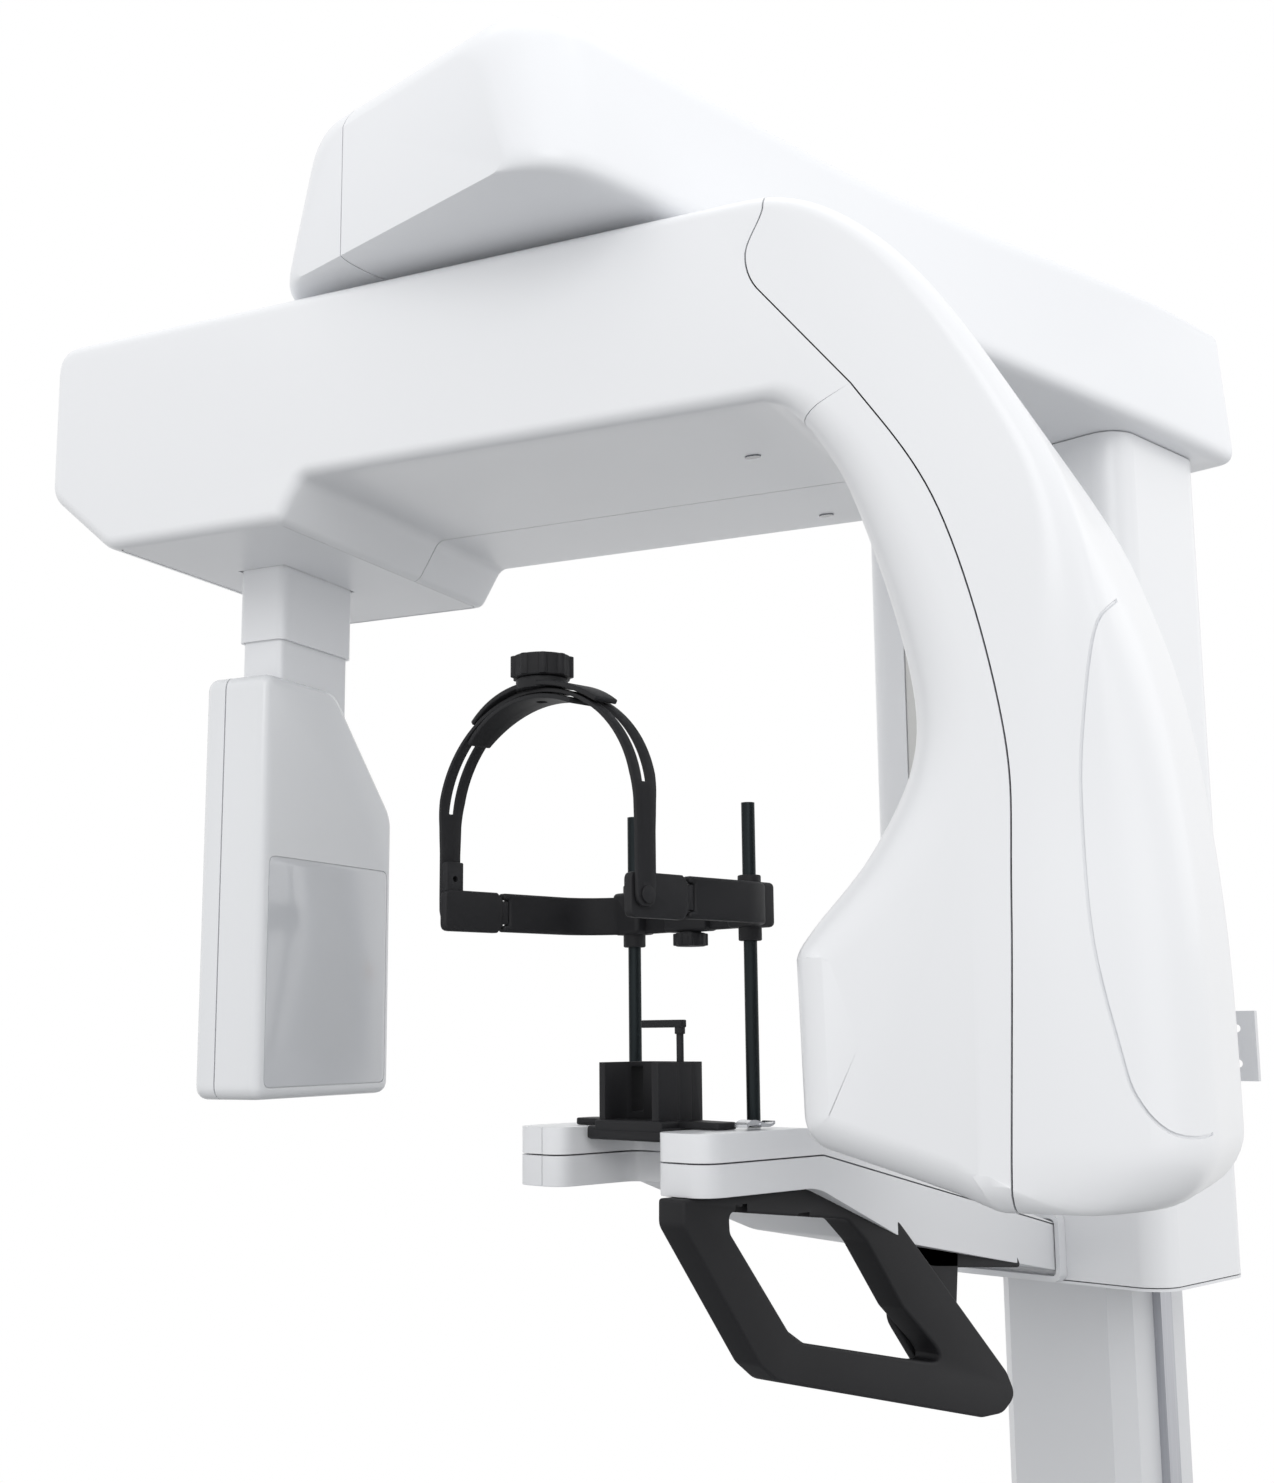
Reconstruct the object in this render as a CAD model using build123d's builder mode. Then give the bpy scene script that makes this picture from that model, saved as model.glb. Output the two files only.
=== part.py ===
# Panoramic dental x-ray unit: base and column, lifting carriage with an upper shelf,
# rotating arm with x-ray source and sensor, and the patient support.
#
# Frame: +Z up, floor at Z = 0, column centred on X = 0 with its front face at Y = 0,
# patient side towards -Y. The patient stands at the rotation axis and faces the column.
import os
from math import cos, pi, radians, sin

from build123d import *

os.makedirs("parts", exist_ok=True)

# ---- driving sizes, mm ----
reach = 692                   # column front face to the rotation axis
shelf_bottom = 2092           # underside of the upper shelf in the drawn lift position
shelf_height = 166
shelf_half = 195              # half width of the shelf underside at the nose
shelf_draft = 46              # how far each side leans in towards the top of the nose
shelf_flare = 208             # half width of the shelf where it caps the column
shelf_nose = 243              # rotation axis to the front of the shelf
wall = 4                      # moulded covers
seam = 1.2                    # gap between neighbouring covers
steel = 6                     # folded steel frames
clear = 0.5                   # gap between parts that move past each other

column_half = 82
column_depth = 150
column_bevel = 20
column_wall = 5
carriage_half = 178
carriage_front = -82
carriage_back = 108
carriage_round = 34
carriage_overlap = 364        # length of column inside the carriage

arm_turn = 20                 # angle of the beam from the X axis, degrees
arm_half = 180                # half thickness of the rotating arm
arm_round = 12
beam_gap = 8                  # shelf underside to the top of the beam
beam_depth = 166
box_drop = 38                 # how far the detector end hangs below the beam
beam_end = 487                # axis to the free end of the beam
beam_split = 49               # front and rear beam covers meet at this distance from the centre
head_outer = 511              # axis to the outer face of the tube head
head_inner = 233              # axis to the exit face of the tube head
head_drop = 767               # top of the beam to the bottom of the tube head
head_bend = 110               # size of the soft outer corners of the tube head

detector_face = 288           # axis to the sensor face
detector_thick = 70
detector_half = 106
detector_drop = 317           # top of the beam to the top of the detector
detector_height = 382
neck_centre = 334
neck_half_u = 26
neck_half_w = 58

rod_radius = 6
rod_spacing = 145
rod_length = 284
rods_behind_axis = 108
table_drop = 725              # top of the beam to the top of the patient table
table_height = 51
table_half = 118
table_front = 3               # rotation axis to the front of the table
notch_half = 57               # half width of the notch for the chin rest
bolt_radius = 5

base_thick = 12
base_half = 330
base_front = 700
base_back = 200
anchor_radius = 7

# ---- derived places ----
axis_y = -reach
beam_top = shelf_bottom - beam_gap
shelf_top = shelf_bottom + shelf_height
shelf_front = axis_y - shelf_nose
shelf_back = carriage_back + 26
table_top = beam_top - table_drop
table_bottom = table_top - table_height
table_seam = table_top - 24
rods_y = axis_y + rods_behind_axis
rod_x = rod_spacing / 2
carriage_bottom = table_top - 183
column_top = carriage_bottom + carriage_overlap
column_mid = column_depth / 2
foot_top = base_thick + 14
foot_spread_x = 2 * column_half + 50
foot_spread_y = column_depth + 40

arm_dir = Vector(cos(radians(arm_turn)), sin(radians(arm_turn)), 0)
arm_side = Vector(sin(radians(arm_turn)), -cos(radians(arm_turn)), 0)
axis_top = Vector(0, axis_y, beam_top)
# arm_plane: X runs from the axis to the tube head, Y is height above the top of the beam
arm_plane = Plane(origin=axis_top, x_dir=arm_dir, z_dir=arm_side)


# ---- helpers ----
def arm_at(u, across, drop):
    # frame on the rotating arm: X along the beam, Y across it, Z up
    origin = axis_top + arm_dir * u - arm_side * across - Vector(0, 0, drop)
    return Plane(origin=origin, x_dir=arm_dir, z_dir=(0, 0, 1))


def write(piece, name):
    piece.part.label = name
    export_step(piece.part, f"parts/{name}.step")


def arm_outline(d=0):
    # side view of the rotating arm, drawn inside its true edge by d
    left = -beam_end + d
    outer = head_outer - d
    inner = head_inner + d
    under = -beam_depth + d
    foot = -head_drop + d
    with BuildLine() as outline:
        Line((left + 12, -d), (215, -d))
        Spline((215, -d), (318 - 0.7 * d, -52 - 0.7 * d), (outer - 99 + 0.1 * d, -190 - 0.5 * d),
               (outer - 33, -350 - 0.2 * d), (outer - 6, -524), (outer, foot + 40),
               tangents=[(1, 0), (0, -1)])
        Spline((outer, foot + 40), (outer - 33, foot), tangents=[(0, -1), (-1, 0)])
        Polyline((outer - 33, foot), (inner + 154 - 0.85 * d, foot), (inner + 4, foot + 45 - 0.26 * d),
                 (inner, -600 - 0.17 * d), (inner + 9, -574 - 0.6 * d))
        Spline((inner + 9, -574 - 0.6 * d), (inner + 52, -517 - 0.3 * d), (inner + 88, -400),
               (inner + 67 - 0.1 * d, -300 + 0.5 * d), (inner - 5 - 0.8 * d, under),
               tangents=[(0.75, 0.7), (-1, 0.25)])
        Polyline((inner - 5 - 0.8 * d, under), (-203 - 0.56 * d, under), (-226 - 0.56 * d, under - box_drop),
                 (-417 + 0.33 * d, under - box_drop), (left, -152 + 0.5 * d), (left, -12 - d),
                 (left + 12, -d))
    return outline.line


def arm_layers(inset):
    # (distance across the arm, inset of the outline): rounds the long edges in three flats
    half = arm_half - inset
    steps = [(half - arm_round * (1 - sin(a)), inset + arm_round * (1 - cos(a)))
             for a in (0, pi / 6, pi / 3, pi / 2)]
    return [(-across, d) for across, d in reversed(steps)] + steps


def arm_solid(inset):
    # closed outer shape of the rotating arm, or of its inside when inset is the wall
    with BuildPart() as solid:
        for across, d in arm_layers(inset):
            with BuildSketch(arm_plane.offset(across)):
                add(arm_outline(d))
                make_face()
        loft(ruled=True)
        half = arm_half - inset
        flat = half - head_bend
        end = head_outer - inset
        with BuildSketch(arm_at(0, 0, head_drop + 40)):
            with BuildLine():
                Polyline((end, flat), (end, -flat))
                CenterArc((end - head_bend, -flat), head_bend, 0, -90)
                Polyline((end - head_bend, -half), (-beam_end - 20, -half), (-beam_end - 20, half),
                         (end - head_bend, half))
                CenterArc((end - head_bend, flat), head_bend, 90, -90)
            make_face()
        extrude(amount=head_drop + 80, mode=Mode.INTERSECT)
    return solid.part


def shelf_section(half_low, half_high, low, high):
    with BuildLine() as section:
        FilletPolyline((-half_low, low), (half_low, low), (half_high, high), (-half_high, high),
                       radius=20, close=True)
    return section.line


def shelf_solid(inset):
    # closed outer shape of the upper shelf, or of its inside when inset is the wall
    top_half = shelf_half - shelf_draft
    with BuildPart() as solid:
        rows = [(shelf_front + inset, 26), (shelf_front + inset + 8, 9), (shelf_front + inset + 26, 0)]
        for y, tuck in rows:
            with BuildSketch(Plane(origin=(0, y, 0), x_dir=(1, 0, 0), z_dir=(0, -1, 0))):
                add(shelf_section(shelf_half - tuck - inset, top_half - tuck - inset,
                                  shelf_bottom + inset + tuck * 0.6, shelf_top - inset - tuck * 0.6))
                make_face()
        for y, low, high in ((-260, shelf_half + 2, top_half + 12), (-90, shelf_half + 6, top_half + 34),
                             (60, shelf_flare, shelf_flare - 14), (shelf_back - inset, shelf_flare, shelf_flare - 12)):
            with BuildSketch(Plane(origin=(0, y, 0), x_dir=(1, 0, 0), z_dir=(0, -1, 0))):
                add(shelf_section(low - inset, high - inset, shelf_bottom + inset, shelf_top - inset))
                make_face()
        loft(ruled=True)
    return solid.part


# ================= base and column =================
with BuildPart() as floor_plate:
    with BuildSketch():
        with Locations((0, (base_back - base_front) / 2)):
            RectangleRounded(2 * base_half, base_front + base_back, 60)
    extrude(amount=base_thick)
    chamfer(floor_plate.faces().sort_by(Axis.Z)[-1].edges(), 4)
    with Locations((0, (base_back - base_front) / 2, base_thick)):
        with GridLocations(2 * base_half - 120, base_front + base_back - 120, 2, 2):
            Hole(anchor_radius)
    with Locations((0, column_mid, base_thick)):
        with GridLocations(foot_spread_x, foot_spread_y, 2, 2):
            Hole(bolt_radius + 0.05)
write(floor_plate, "floor_plate")

cap_thick = 16
piston_radius = 23
with BuildPart() as column_shell:
    with BuildSketch(Plane.XY.offset(base_thick)):
        with Locations((0, column_mid)):
            RectangleRounded(foot_spread_x + 30, foot_spread_y + 30, 12)
    extrude(amount=foot_top - base_thick)
    with BuildSketch(Plane.XY.offset(foot_top)):
        with Locations((0, column_mid)):
            Rectangle(2 * column_half, column_depth)
        chamfer(vertices(), column_bevel)
    extrude(amount=column_top - foot_top)
    with BuildSketch(Plane.XY.offset(foot_top)):
        with Locations((0, column_mid)):
            Rectangle(2 * (column_half - column_wall), column_depth - 2 * column_wall)
        chamfer(vertices(), column_bevel - 2)
    extrude(amount=column_top - foot_top - cap_thick, mode=Mode.SUBTRACT)
    with Locations((0, column_mid, column_top)):
        Cylinder(piston_radius + clear, 3 * cap_thick, mode=Mode.SUBTRACT)
    with Locations((0, column_mid, foot_top)):
        with GridLocations(foot_spread_x, foot_spread_y, 2, 2):
            Hole(bolt_radius + 0.05)
write(column_shell, "column_shell")

with BuildPart() as foot_bolts:
    with Locations((0, column_mid, 0)):
        with GridLocations(foot_spread_x, foot_spread_y, 2, 2):
            with Locations((0, 0, foot_top + 4)):
                Cylinder(bolt_radius + 4, 8)
            with Locations((0, 0, foot_top / 2 + 1)):
                Cylinder(bolt_radius, foot_top - 2)
write(foot_bolts, "foot_bolts")

skirt_high = 70
with BuildPart() as foot_skirt:
    with BuildSketch(Plane.XY.offset(base_thick)):
        with Locations((0, column_mid)):
            RectangleRounded(foot_spread_x + 42, foot_spread_y + 42, 18)
    extrude(amount=skirt_high)
    with BuildSketch(Plane.XY.offset(base_thick)):
        with Locations((0, column_mid)):
            RectangleRounded(foot_spread_x + 34, foot_spread_y + 34, 14)
    extrude(amount=skirt_high - wall, mode=Mode.SUBTRACT)
    with BuildSketch(Plane.XY.offset(base_thick)):
        with Locations((0, column_mid)):
            Rectangle(2 * column_half + 2, column_depth + 2)
    extrude(amount=skirt_high, mode=Mode.SUBTRACT)
write(foot_skirt, "foot_skirt")

rail_in = column_half
rail_thick = 10
rail_width = 24
rail_low = 130
with BuildPart() as guide_rails:
    with Locations((rail_in + rail_thick / 2, column_mid, (rail_low + column_top - 12) / 2),
                   (-rail_in - rail_thick / 2, column_mid, (rail_low + column_top - 12) / 2)):
        Box(rail_thick, rail_width, column_top - 12 - rail_low)
write(guide_rails, "guide_rails")

motor_top = 230
gear_low = 150
with BuildPart() as lift_actuator:
    with Locations((0, column_mid, (foot_top + gear_low) / 2)):
        Cylinder(46, gear_low - foot_top)
    with Locations((0, column_mid, (gear_low + motor_top) / 2)):
        Box(110, 90, motor_top - gear_low)
    with Locations((0, column_mid, (motor_top + column_top - cap_thick) / 2)):
        Cylinder(piston_radius + 7, column_top - cap_thick - motor_top)
        Cylinder(piston_radius + clear, column_top - cap_thick - motor_top, mode=Mode.SUBTRACT)
write(lift_actuator, "lift_actuator")

bracket_z = column_top - 120
with BuildPart() as wall_bracket:
    with Locations((0, column_depth + 20, bracket_z)):
        with GridLocations(110, 0, 2, 1):
            Box(steel, 40, 80)
    with Locations((0, column_depth + 40 + steel / 2, bracket_z)):
        Box(320, steel, 80)
    with BuildSketch(Plane(origin=(0, column_depth + 40 + steel, bracket_z), x_dir=(-1, 0, 0),
                           z_dir=(0, 1, 0))):
        with GridLocations(260, 40, 2, 2):
            SlotOverall(24, 9)
    extrude(amount=-steel, mode=Mode.SUBTRACT)
write(wall_bracket, "wall_bracket")

inlet_x = -25
inlet_z = 180
switch_x = 28
panel_depth = 8
with BuildPart() as power_inlet:
    with BuildSketch(Plane(origin=(0, column_depth, inlet_z), x_dir=(-1, 0, 0), z_dir=(0, 1, 0))):
        RectangleRounded(2 * switch_x + 50, 40, 4)
        with Locations((-switch_x, 0)):
            Rectangle(20, 24, mode=Mode.SUBTRACT)
        with Locations((-inlet_x, 0)):
            Rectangle(24, 17, mode=Mode.SUBTRACT)
    extrude(amount=panel_depth)
    with Locations((0, column_depth + 0.75, inlet_z)):
        Box(2 * switch_x + 40, 1.5, 36)
    with Locations((inlet_x, column_depth + 3, inlet_z)):
        with GridLocations(7, 0, 3, 1):
            Box(1.6, 4, 6)
write(power_inlet, "power_inlet")

with BuildPart() as power_switch:
    with BuildSketch(Plane.YZ.offset(switch_x - 9)):
        with Locations((column_depth, inlet_z)):
            Polygon((3.5, -9.5), (7.5, -9.5), (6, 0), (10, 9.5), (3.5, 9.5), align=None)
    extrude(amount=18)
    with Locations((switch_x, column_depth + 4.5, inlet_z)):
        Cylinder(1.8, 19.4, rotation=(0, 90, 0))
write(power_switch, "power_switch")

# ================= lifting carriage =================
panel_half = 118
panel_low = carriage_bottom + 78
panel_high = shelf_bottom - 144
slot_half = 100
cover_low = carriage_bottom + wall
tongue_width = 60             # steel tongue that carries the patient support
tongue_high = 22
tongue_z = carriage_bottom + 38
cover_high = shelf_bottom - seam


def carriage_ring(inset):
    Rectangle(2 * (carriage_half - inset), carriage_back - carriage_front - 2 * inset)
    fillet(vertices(), carriage_round - inset)


with BuildPart() as carriage_cover:
    with BuildSketch(Plane.XY.offset(cover_low)):
        with Locations((0, (carriage_front + carriage_back) / 2)):
            carriage_ring(0)
    extrude(amount=cover_high - cover_low)
    with BuildSketch(Plane.XY.offset(cover_low)):
        with Locations((0, (carriage_front + carriage_back) / 2)):
            carriage_ring(wall)
        with Locations((0, carriage_back)):
            Rectangle(2 * slot_half, 40)
    extrude(amount=cover_high - cover_low, mode=Mode.SUBTRACT)
    with BuildSketch(Plane(origin=(0, carriage_front, (panel_low + panel_high) / 2), x_dir=(1, 0, 0),
                           z_dir=(0, -1, 0))):
        RectangleRounded(2 * panel_half, panel_high - panel_low, 18)
    extrude(amount=-wall - 1, mode=Mode.SUBTRACT)
    with Locations((0, carriage_front, tongue_z)):
        Box(tongue_width + 2, 4 * wall, tongue_high + 2, mode=Mode.SUBTRACT)
write(carriage_cover, "carriage_cover")

with BuildPart() as carriage_panel:
    with BuildSketch(Plane(origin=(0, carriage_front + 1.5, (panel_low + panel_high) / 2), x_dir=(1, 0, 0),
                           z_dir=(0, -1, 0))):
        RectangleRounded(2 * (panel_half - seam), panel_high - panel_low - 2 * seam, 18 - seam)
    extrude(amount=-wall)
write(carriage_panel, "carriage_panel")

with BuildPart() as carriage_base_cover:
    with BuildSketch(Plane.XY.offset(carriage_bottom)):
        with Locations((0, (carriage_front + carriage_back) / 2)):
            carriage_ring(0)
        with Locations((0, column_depth / 2)):
            Rectangle(2 * (rail_in + rail_thick + 3), column_depth + 8, mode=Mode.SUBTRACT)
    extrude(amount=wall - seam)
write(carriage_base_cover, "carriage_base_cover")

frame_in = rail_in + rail_thick + 20
frame_front = carriage_front + 30
with BuildPart() as carriage_frame:
    with BuildSketch(Plane.XY.offset(carriage_bottom + 14)):
        with Locations((0, (frame_front + carriage_back - 12) / 2)):
            Rectangle(2 * (frame_in + steel), carriage_back - 12 - frame_front)
            with Locations((0, steel)):
                Rectangle(2 * frame_in, carriage_back - 12 - frame_front, mode=Mode.SUBTRACT)
    extrude(amount=shelf_bottom + 10 - carriage_bottom - 14)
write(carriage_frame, "carriage_frame")

shoe_z = (carriage_bottom + 60, carriage_bottom + 190)
shoe_in = rail_in + 2
shoe_x = (shoe_in + frame_in) / 2
with BuildPart() as guide_shoes:
    for z in shoe_z:
        with Locations((shoe_x, column_mid, z), (-shoe_x, column_mid, z)):
            Box(frame_in - shoe_in, 44, 70)
        with Locations((0, column_mid, z)):
            Box(2 * (rail_in + rail_thick + clear), rail_width + 2 * clear, 70, mode=Mode.SUBTRACT)
write(guide_shoes, "guide_shoes")

with BuildPart() as lift_piston:
    with Locations((0, column_mid, (carriage_bottom - 160 + shelf_bottom + 10) / 2)):
        Cylinder(piston_radius, shelf_bottom + 10 - carriage_bottom + 160)
        Cylinder(piston_radius - 4, shelf_bottom + 10 - carriage_bottom + 160, mode=Mode.SUBTRACT)
write(lift_piston, "lift_piston")

# ================= upper shelf =================
shelf_outer = shelf_solid(0)
shelf_inner = shelf_solid(wall)
cap_x = -73
cap_back = axis_y + 90
tray_high = shelf_bottom + 24
spindle_slot = 160
slot_width = 130

with BuildPart() as shelf_cover:
    add(shelf_outer)
    add(shelf_inner, mode=Mode.SUBTRACT)
    with Locations((0, (shelf_front + shelf_back) / 2, shelf_bottom)):
        Box(900, shelf_back - shelf_front + 10, 2 * (tray_high - shelf_bottom), mode=Mode.SUBTRACT)
    with Locations((cap_x - 300 + seam, (shelf_front + cap_back) / 2 - 50, shelf_bottom + 100)):
        Box(600, cap_back - shelf_front + 100 + seam, 260, mode=Mode.SUBTRACT)
write(shelf_cover, "shelf_cover")

with BuildPart() as shelf_end_cap:
    add(shelf_outer)
    add(shelf_inner, mode=Mode.SUBTRACT)
    with Locations((cap_x - 300, (shelf_front + cap_back) / 2 - 50, tray_high + 100)):
        Box(600, cap_back - shelf_front + 100 - seam, 200, mode=Mode.INTERSECT)
write(shelf_end_cap, "shelf_end_cap")

with BuildPart() as shelf_tray:
    add(shelf_outer)
    add(shelf_inner, mode=Mode.SUBTRACT)
    with Locations((0, (shelf_front + shelf_back) / 2, shelf_bottom + (tray_high - seam - shelf_bottom) / 2)):
        Box(900, shelf_back - shelf_front + 10, tray_high - seam - shelf_bottom, mode=Mode.INTERSECT)
    with BuildSketch(Plane.XY.offset(shelf_bottom - 1)):
        with Locations((0, axis_y)):
            SlotOverall(spindle_slot + slot_width, slot_width, rotation=90)
        with Locations((0, (frame_front + carriage_back) / 2)):
            Rectangle(2 * frame_in + 2 * steel + 2, carriage_back - frame_front + 4)
    extrude(amount=wall + 2, mode=Mode.SUBTRACT)
write(shelf_tray, "shelf_tray")

beam_x = 100
frame_low = shelf_bottom + 10
rail_x = beam_x - 18
slide_rail_low = frame_low + steel
with BuildPart() as shelf_frame:
    with Locations((beam_x, (shelf_front + 70 + carriage_back) / 2, frame_low + 55),
                   (-beam_x, (shelf_front + 70 + carriage_back) / 2, frame_low + 55)):
        Box(steel, carriage_back - shelf_front - 70, 110)
    with Locations((0, shelf_front + 70, frame_low + 55), (0, axis_y + 230, frame_low + 55),
                   (0, carriage_front + 40, frame_low + 55)):
        Box(2 * beam_x, steel, 110)
    with Locations((0, (carriage_front + 40 + carriage_back) / 2, frame_low + steel / 2)):
        Box(2 * (frame_in + steel), carriage_back - carriage_front - 40, steel)
    with Locations((beam_x - 16, axis_y, frame_low + steel / 2),
                   (-beam_x + 16, axis_y, frame_low + steel / 2)):
        Box(32, 2 * 220, steel)
    with Locations((rail_x, axis_y, slide_rail_low + 7), (-rail_x, axis_y, slide_rail_low + 7)):
        Box(15, 400, 14)
write(shelf_frame, "shelf_frame")

# ================= rotation slide =================
slide_low = slide_rail_low + 22
spindle_radius = 34
bearing_radius = 52
with BuildPart() as slide_plate:
    with Locations((0, axis_y + 30, slide_low + 6)):
        Box(2 * beam_x - 20, 240, 12)
    with Locations((0, axis_y, slide_low + 12)):
        Hole(bearing_radius + 0.05)
    with Locations((0, axis_y + 30, slide_low - 8)):
        with GridLocations(2 * rail_x, 180, 2, 2):
            Box(26, 50, 16)
    with Locations((rail_x, axis_y, slide_rail_low + 7), (-rail_x, axis_y, slide_rail_low + 7)):
        Box(15 + 2 * clear, 420, 14 + 2 * clear, mode=Mode.SUBTRACT)
write(slide_plate, "slide_plate")

with BuildPart() as slewing_bearing:
    with Locations((0, axis_y, slide_low - 2)):
        Cylinder(bearing_radius, 28)
        Cylinder(spindle_radius + 0.05, 28, mode=Mode.SUBTRACT)
write(slewing_bearing, "slewing_bearing")

motor_y = axis_y + 112
pulley_z = slide_low + 24
with BuildPart() as rotation_motor:
    with Locations((0, motor_y, slide_low + 12 + 38)):
        Box(78, 56, 28)
    with Locations((0, motor_y, slide_low + 12 + 70)):
        Cylinder(24, 36)
    with Locations((0, motor_y, slide_low + 12 + 12)):
        with GridLocations(68, 46, 2, 2):
            Cylinder(4, 24)
write(rotation_motor, "rotation_motor")

pulley_radius = 58
pinion_radius = 14.5
with BuildPart() as drive_pulley:
    with Locations((0, motor_y, pulley_z)):
        Cylinder(pinion_radius, 14)
    with Locations((0, motor_y, pulley_z + 8)):
        Cylinder(pinion_radius + 3, 2)
    with Locations((0, motor_y, pulley_z - 8)):
        Cylinder(pinion_radius + 3, 2)
write(drive_pulley, "drive_pulley")

belt_gap = 0.4
with BuildPart() as drive_belt:
    with BuildSketch(Plane.XY.offset(pulley_z - 5)):
        for grow, mode in ((belt_gap + 2, Mode.ADD), (belt_gap, Mode.SUBTRACT)):
            big = pulley_radius + grow
            small = pinion_radius + grow
            lean = (big - small) / (motor_y - axis_y)
            side = (1 - lean * lean) ** 0.5
            with BuildSketch(mode=Mode.PRIVATE) as loop:
                with Locations((0, axis_y)):
                    Circle(big)
                with Locations((0, motor_y)):
                    Circle(small)
                with BuildLine():
                    Polyline((big * side, axis_y + big * lean), (small * side, motor_y + small * lean),
                             (-small * side, motor_y + small * lean), (-big * side, axis_y + big * lean),
                             (big * side, axis_y + big * lean))
                make_face()
            add(loop.sketch, mode=mode)
    extrude(amount=10)
write(drive_belt, "drive_belt")

# ================= rotating arm =================
arm_outer = arm_solid(0)
arm_inner = arm_solid(wall)
corner = (294, -167)          # where the three side covers meet


def long_seam(shift=0):
    with BuildLine() as line:
        Line((232 + shift, 60), (227 + shift, -14))
        Spline((227 + shift, -14), (214 + shift, -48), (221 + shift, -74), tangents=[(-0.3, -1), (0.6, -0.8)])
        Line((221 + shift, -74), (corner[0] + shift, corner[1]))
    return line.line


def tail_seam(shift=0):
    with BuildLine() as line:
        Spline((corner[0] + shift, corner[1]), (357 + shift, -273), (396 + shift, -430), (395 + shift, -557),
               (386 + shift, -760))
        Line((386 + shift, -760), (386 + shift, -head_drop - 60))
    return line.line


def beam_zone():
    # side-view region of the beam covers
    with BuildLine() as zone:
        add(long_seam(-seam / 2))
        Polyline((corner[0] - seam / 2, corner[1]), (head_inner + 4, -193 + seam), (-30, -260),
                 (-beam_end - 60, -300), (-beam_end - 60, 60), (232 - seam / 2, 60))
    return zone.line


def outer_zone():
    # side-view region of the outer head cover
    with BuildLine() as zone:
        add(long_seam(seam / 2))
        add(tail_seam(seam / 2))
        Polyline((386 + seam / 2, -head_drop - 60), (head_outer + 90, -head_drop - 60), (head_outer + 90, 60),
                 (232 + seam / 2, 60))
    return zone.line


def inner_zone():
    # side-view region of the inner head cover
    with BuildLine() as zone:
        add(tail_seam(-seam / 2))
        Polyline((386 - seam / 2, -head_drop - 60), (100, -head_drop - 60), (100, -235), (head_inner + 4, -193),
                 (corner[0] - seam / 2, corner[1] - seam))
        Line((corner[0] - seam / 2, corner[1] - seam), (corner[0] - seam / 2, corner[1]))
    return zone.line


spindle_hole = spindle_radius + 3
bay_u = -(417 + 224) / 2
bay_length = 180
bay_width = 340
lens_u = 166
lens_across = (-52, 137)


def cover_piece(zone, low, high):
    # part of the arm's skin inside a side-view region, between two distances towards the front side
    with BuildPart() as piece:
        add(arm_outer)
        add(arm_inner, mode=Mode.SUBTRACT)
        with BuildSketch(arm_plane.offset(low)):
            add(zone)
            make_face()
        extrude(amount=high - low, mode=Mode.INTERSECT)
        with Locations((0, axis_y, beam_top)):
            Cylinder(spindle_hole, 30, mode=Mode.SUBTRACT)
        with BuildSketch(arm_at(bay_u, 0, beam_depth + box_drop + 3)):
            Rectangle(bay_length, bay_width)
        extrude(amount=3 + wall + 1, mode=Mode.SUBTRACT)
        for across in lens_across:
            with BuildSketch(arm_at(lens_u, across, beam_depth + 1)):
                Ellipse(7.2, 4.2)
            extrude(amount=wall + 2, mode=Mode.SUBTRACT)
    return piece


beam_front_cover = cover_piece(beam_zone(), -beam_split + seam / 2, arm_half + 5)
write(beam_front_cover, "beam_front_cover")
beam_rear_cover = cover_piece(beam_zone(), -arm_half - 5, -beam_split - seam / 2)
write(beam_rear_cover, "beam_rear_cover")
head_outer_cover = cover_piece(outer_zone(), -arm_half - 5, arm_half + 5)
write(head_outer_cover, "head_outer_cover")

window_half = 42
window_high = 606
window_low = 702
with BuildPart() as head_inner_cover:
    add(cover_piece(inner_zone(), -arm_half - 5, arm_half + 5).part)
    with BuildSketch(arm_at(head_inner, 0, window_low)):
        Rectangle(40, 2 * window_half)
    extrude(amount=window_low - window_high, mode=Mode.SUBTRACT)
write(head_inner_cover, "head_inner_cover")

with BuildPart() as beam_window:
    add(arm_outer)
    add(arm_inner, mode=Mode.SUBTRACT)
    with BuildSketch(arm_at(head_inner, 0, window_low - seam / 2)):
        Rectangle(30, 2 * window_half - seam)
    extrude(amount=window_low - window_high - seam, mode=Mode.INTERSECT)
write(beam_window, "beam_window")

with BuildPart() as bay_cover:
    with BuildSketch(arm_at(bay_u, 0, beam_depth + box_drop - 0.5)):
        RectangleRounded(bay_length - 2 * seam, bay_width - 2 * seam, 6)
        with Locations((-neck_centre - bay_u, 0)):
            Rectangle(2 * neck_half_u + 2, 2 * neck_half_w + 2, mode=Mode.SUBTRACT)
    extrude(amount=wall - 1)
write(bay_cover, "bay_cover")

spine_drop = 75
spine_width = 60
with BuildPart() as arm_frame:
    with BuildSketch(arm_plane):
        with BuildLine():
            Polyline((-beam_end + 47, -spine_drop), (head_inner + 17, -spine_drop), (head_outer - 101, -330),
                     (head_outer - 81, -head_drop + 67))
        trace(line_width=spine_width)
    extrude(amount=55, both=True)
write(arm_frame, "arm_frame")

tube_u = head_inner + 97
with BuildPart() as xray_tube:
    with BuildSketch(arm_at(tube_u, 0, head_drop - 77)):
        RectangleRounded(100, 170, 20)
    extrude(amount=145)
    with BuildSketch(arm_at(tube_u + 5, 0, head_drop - 222)):
        Circle(36)
    extrude(amount=33)
    with BuildSketch(arm_at(head_inner + 30, 0, head_drop - 77)):
        Rectangle(36, 90)
    extrude(amount=80)
    with BuildSketch(arm_at(head_inner + 20, 0, head_drop - 102)):
        Rectangle(24, 6)
    extrude(amount=40, mode=Mode.SUBTRACT)
write(xray_tube, "xray_tube")

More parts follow.
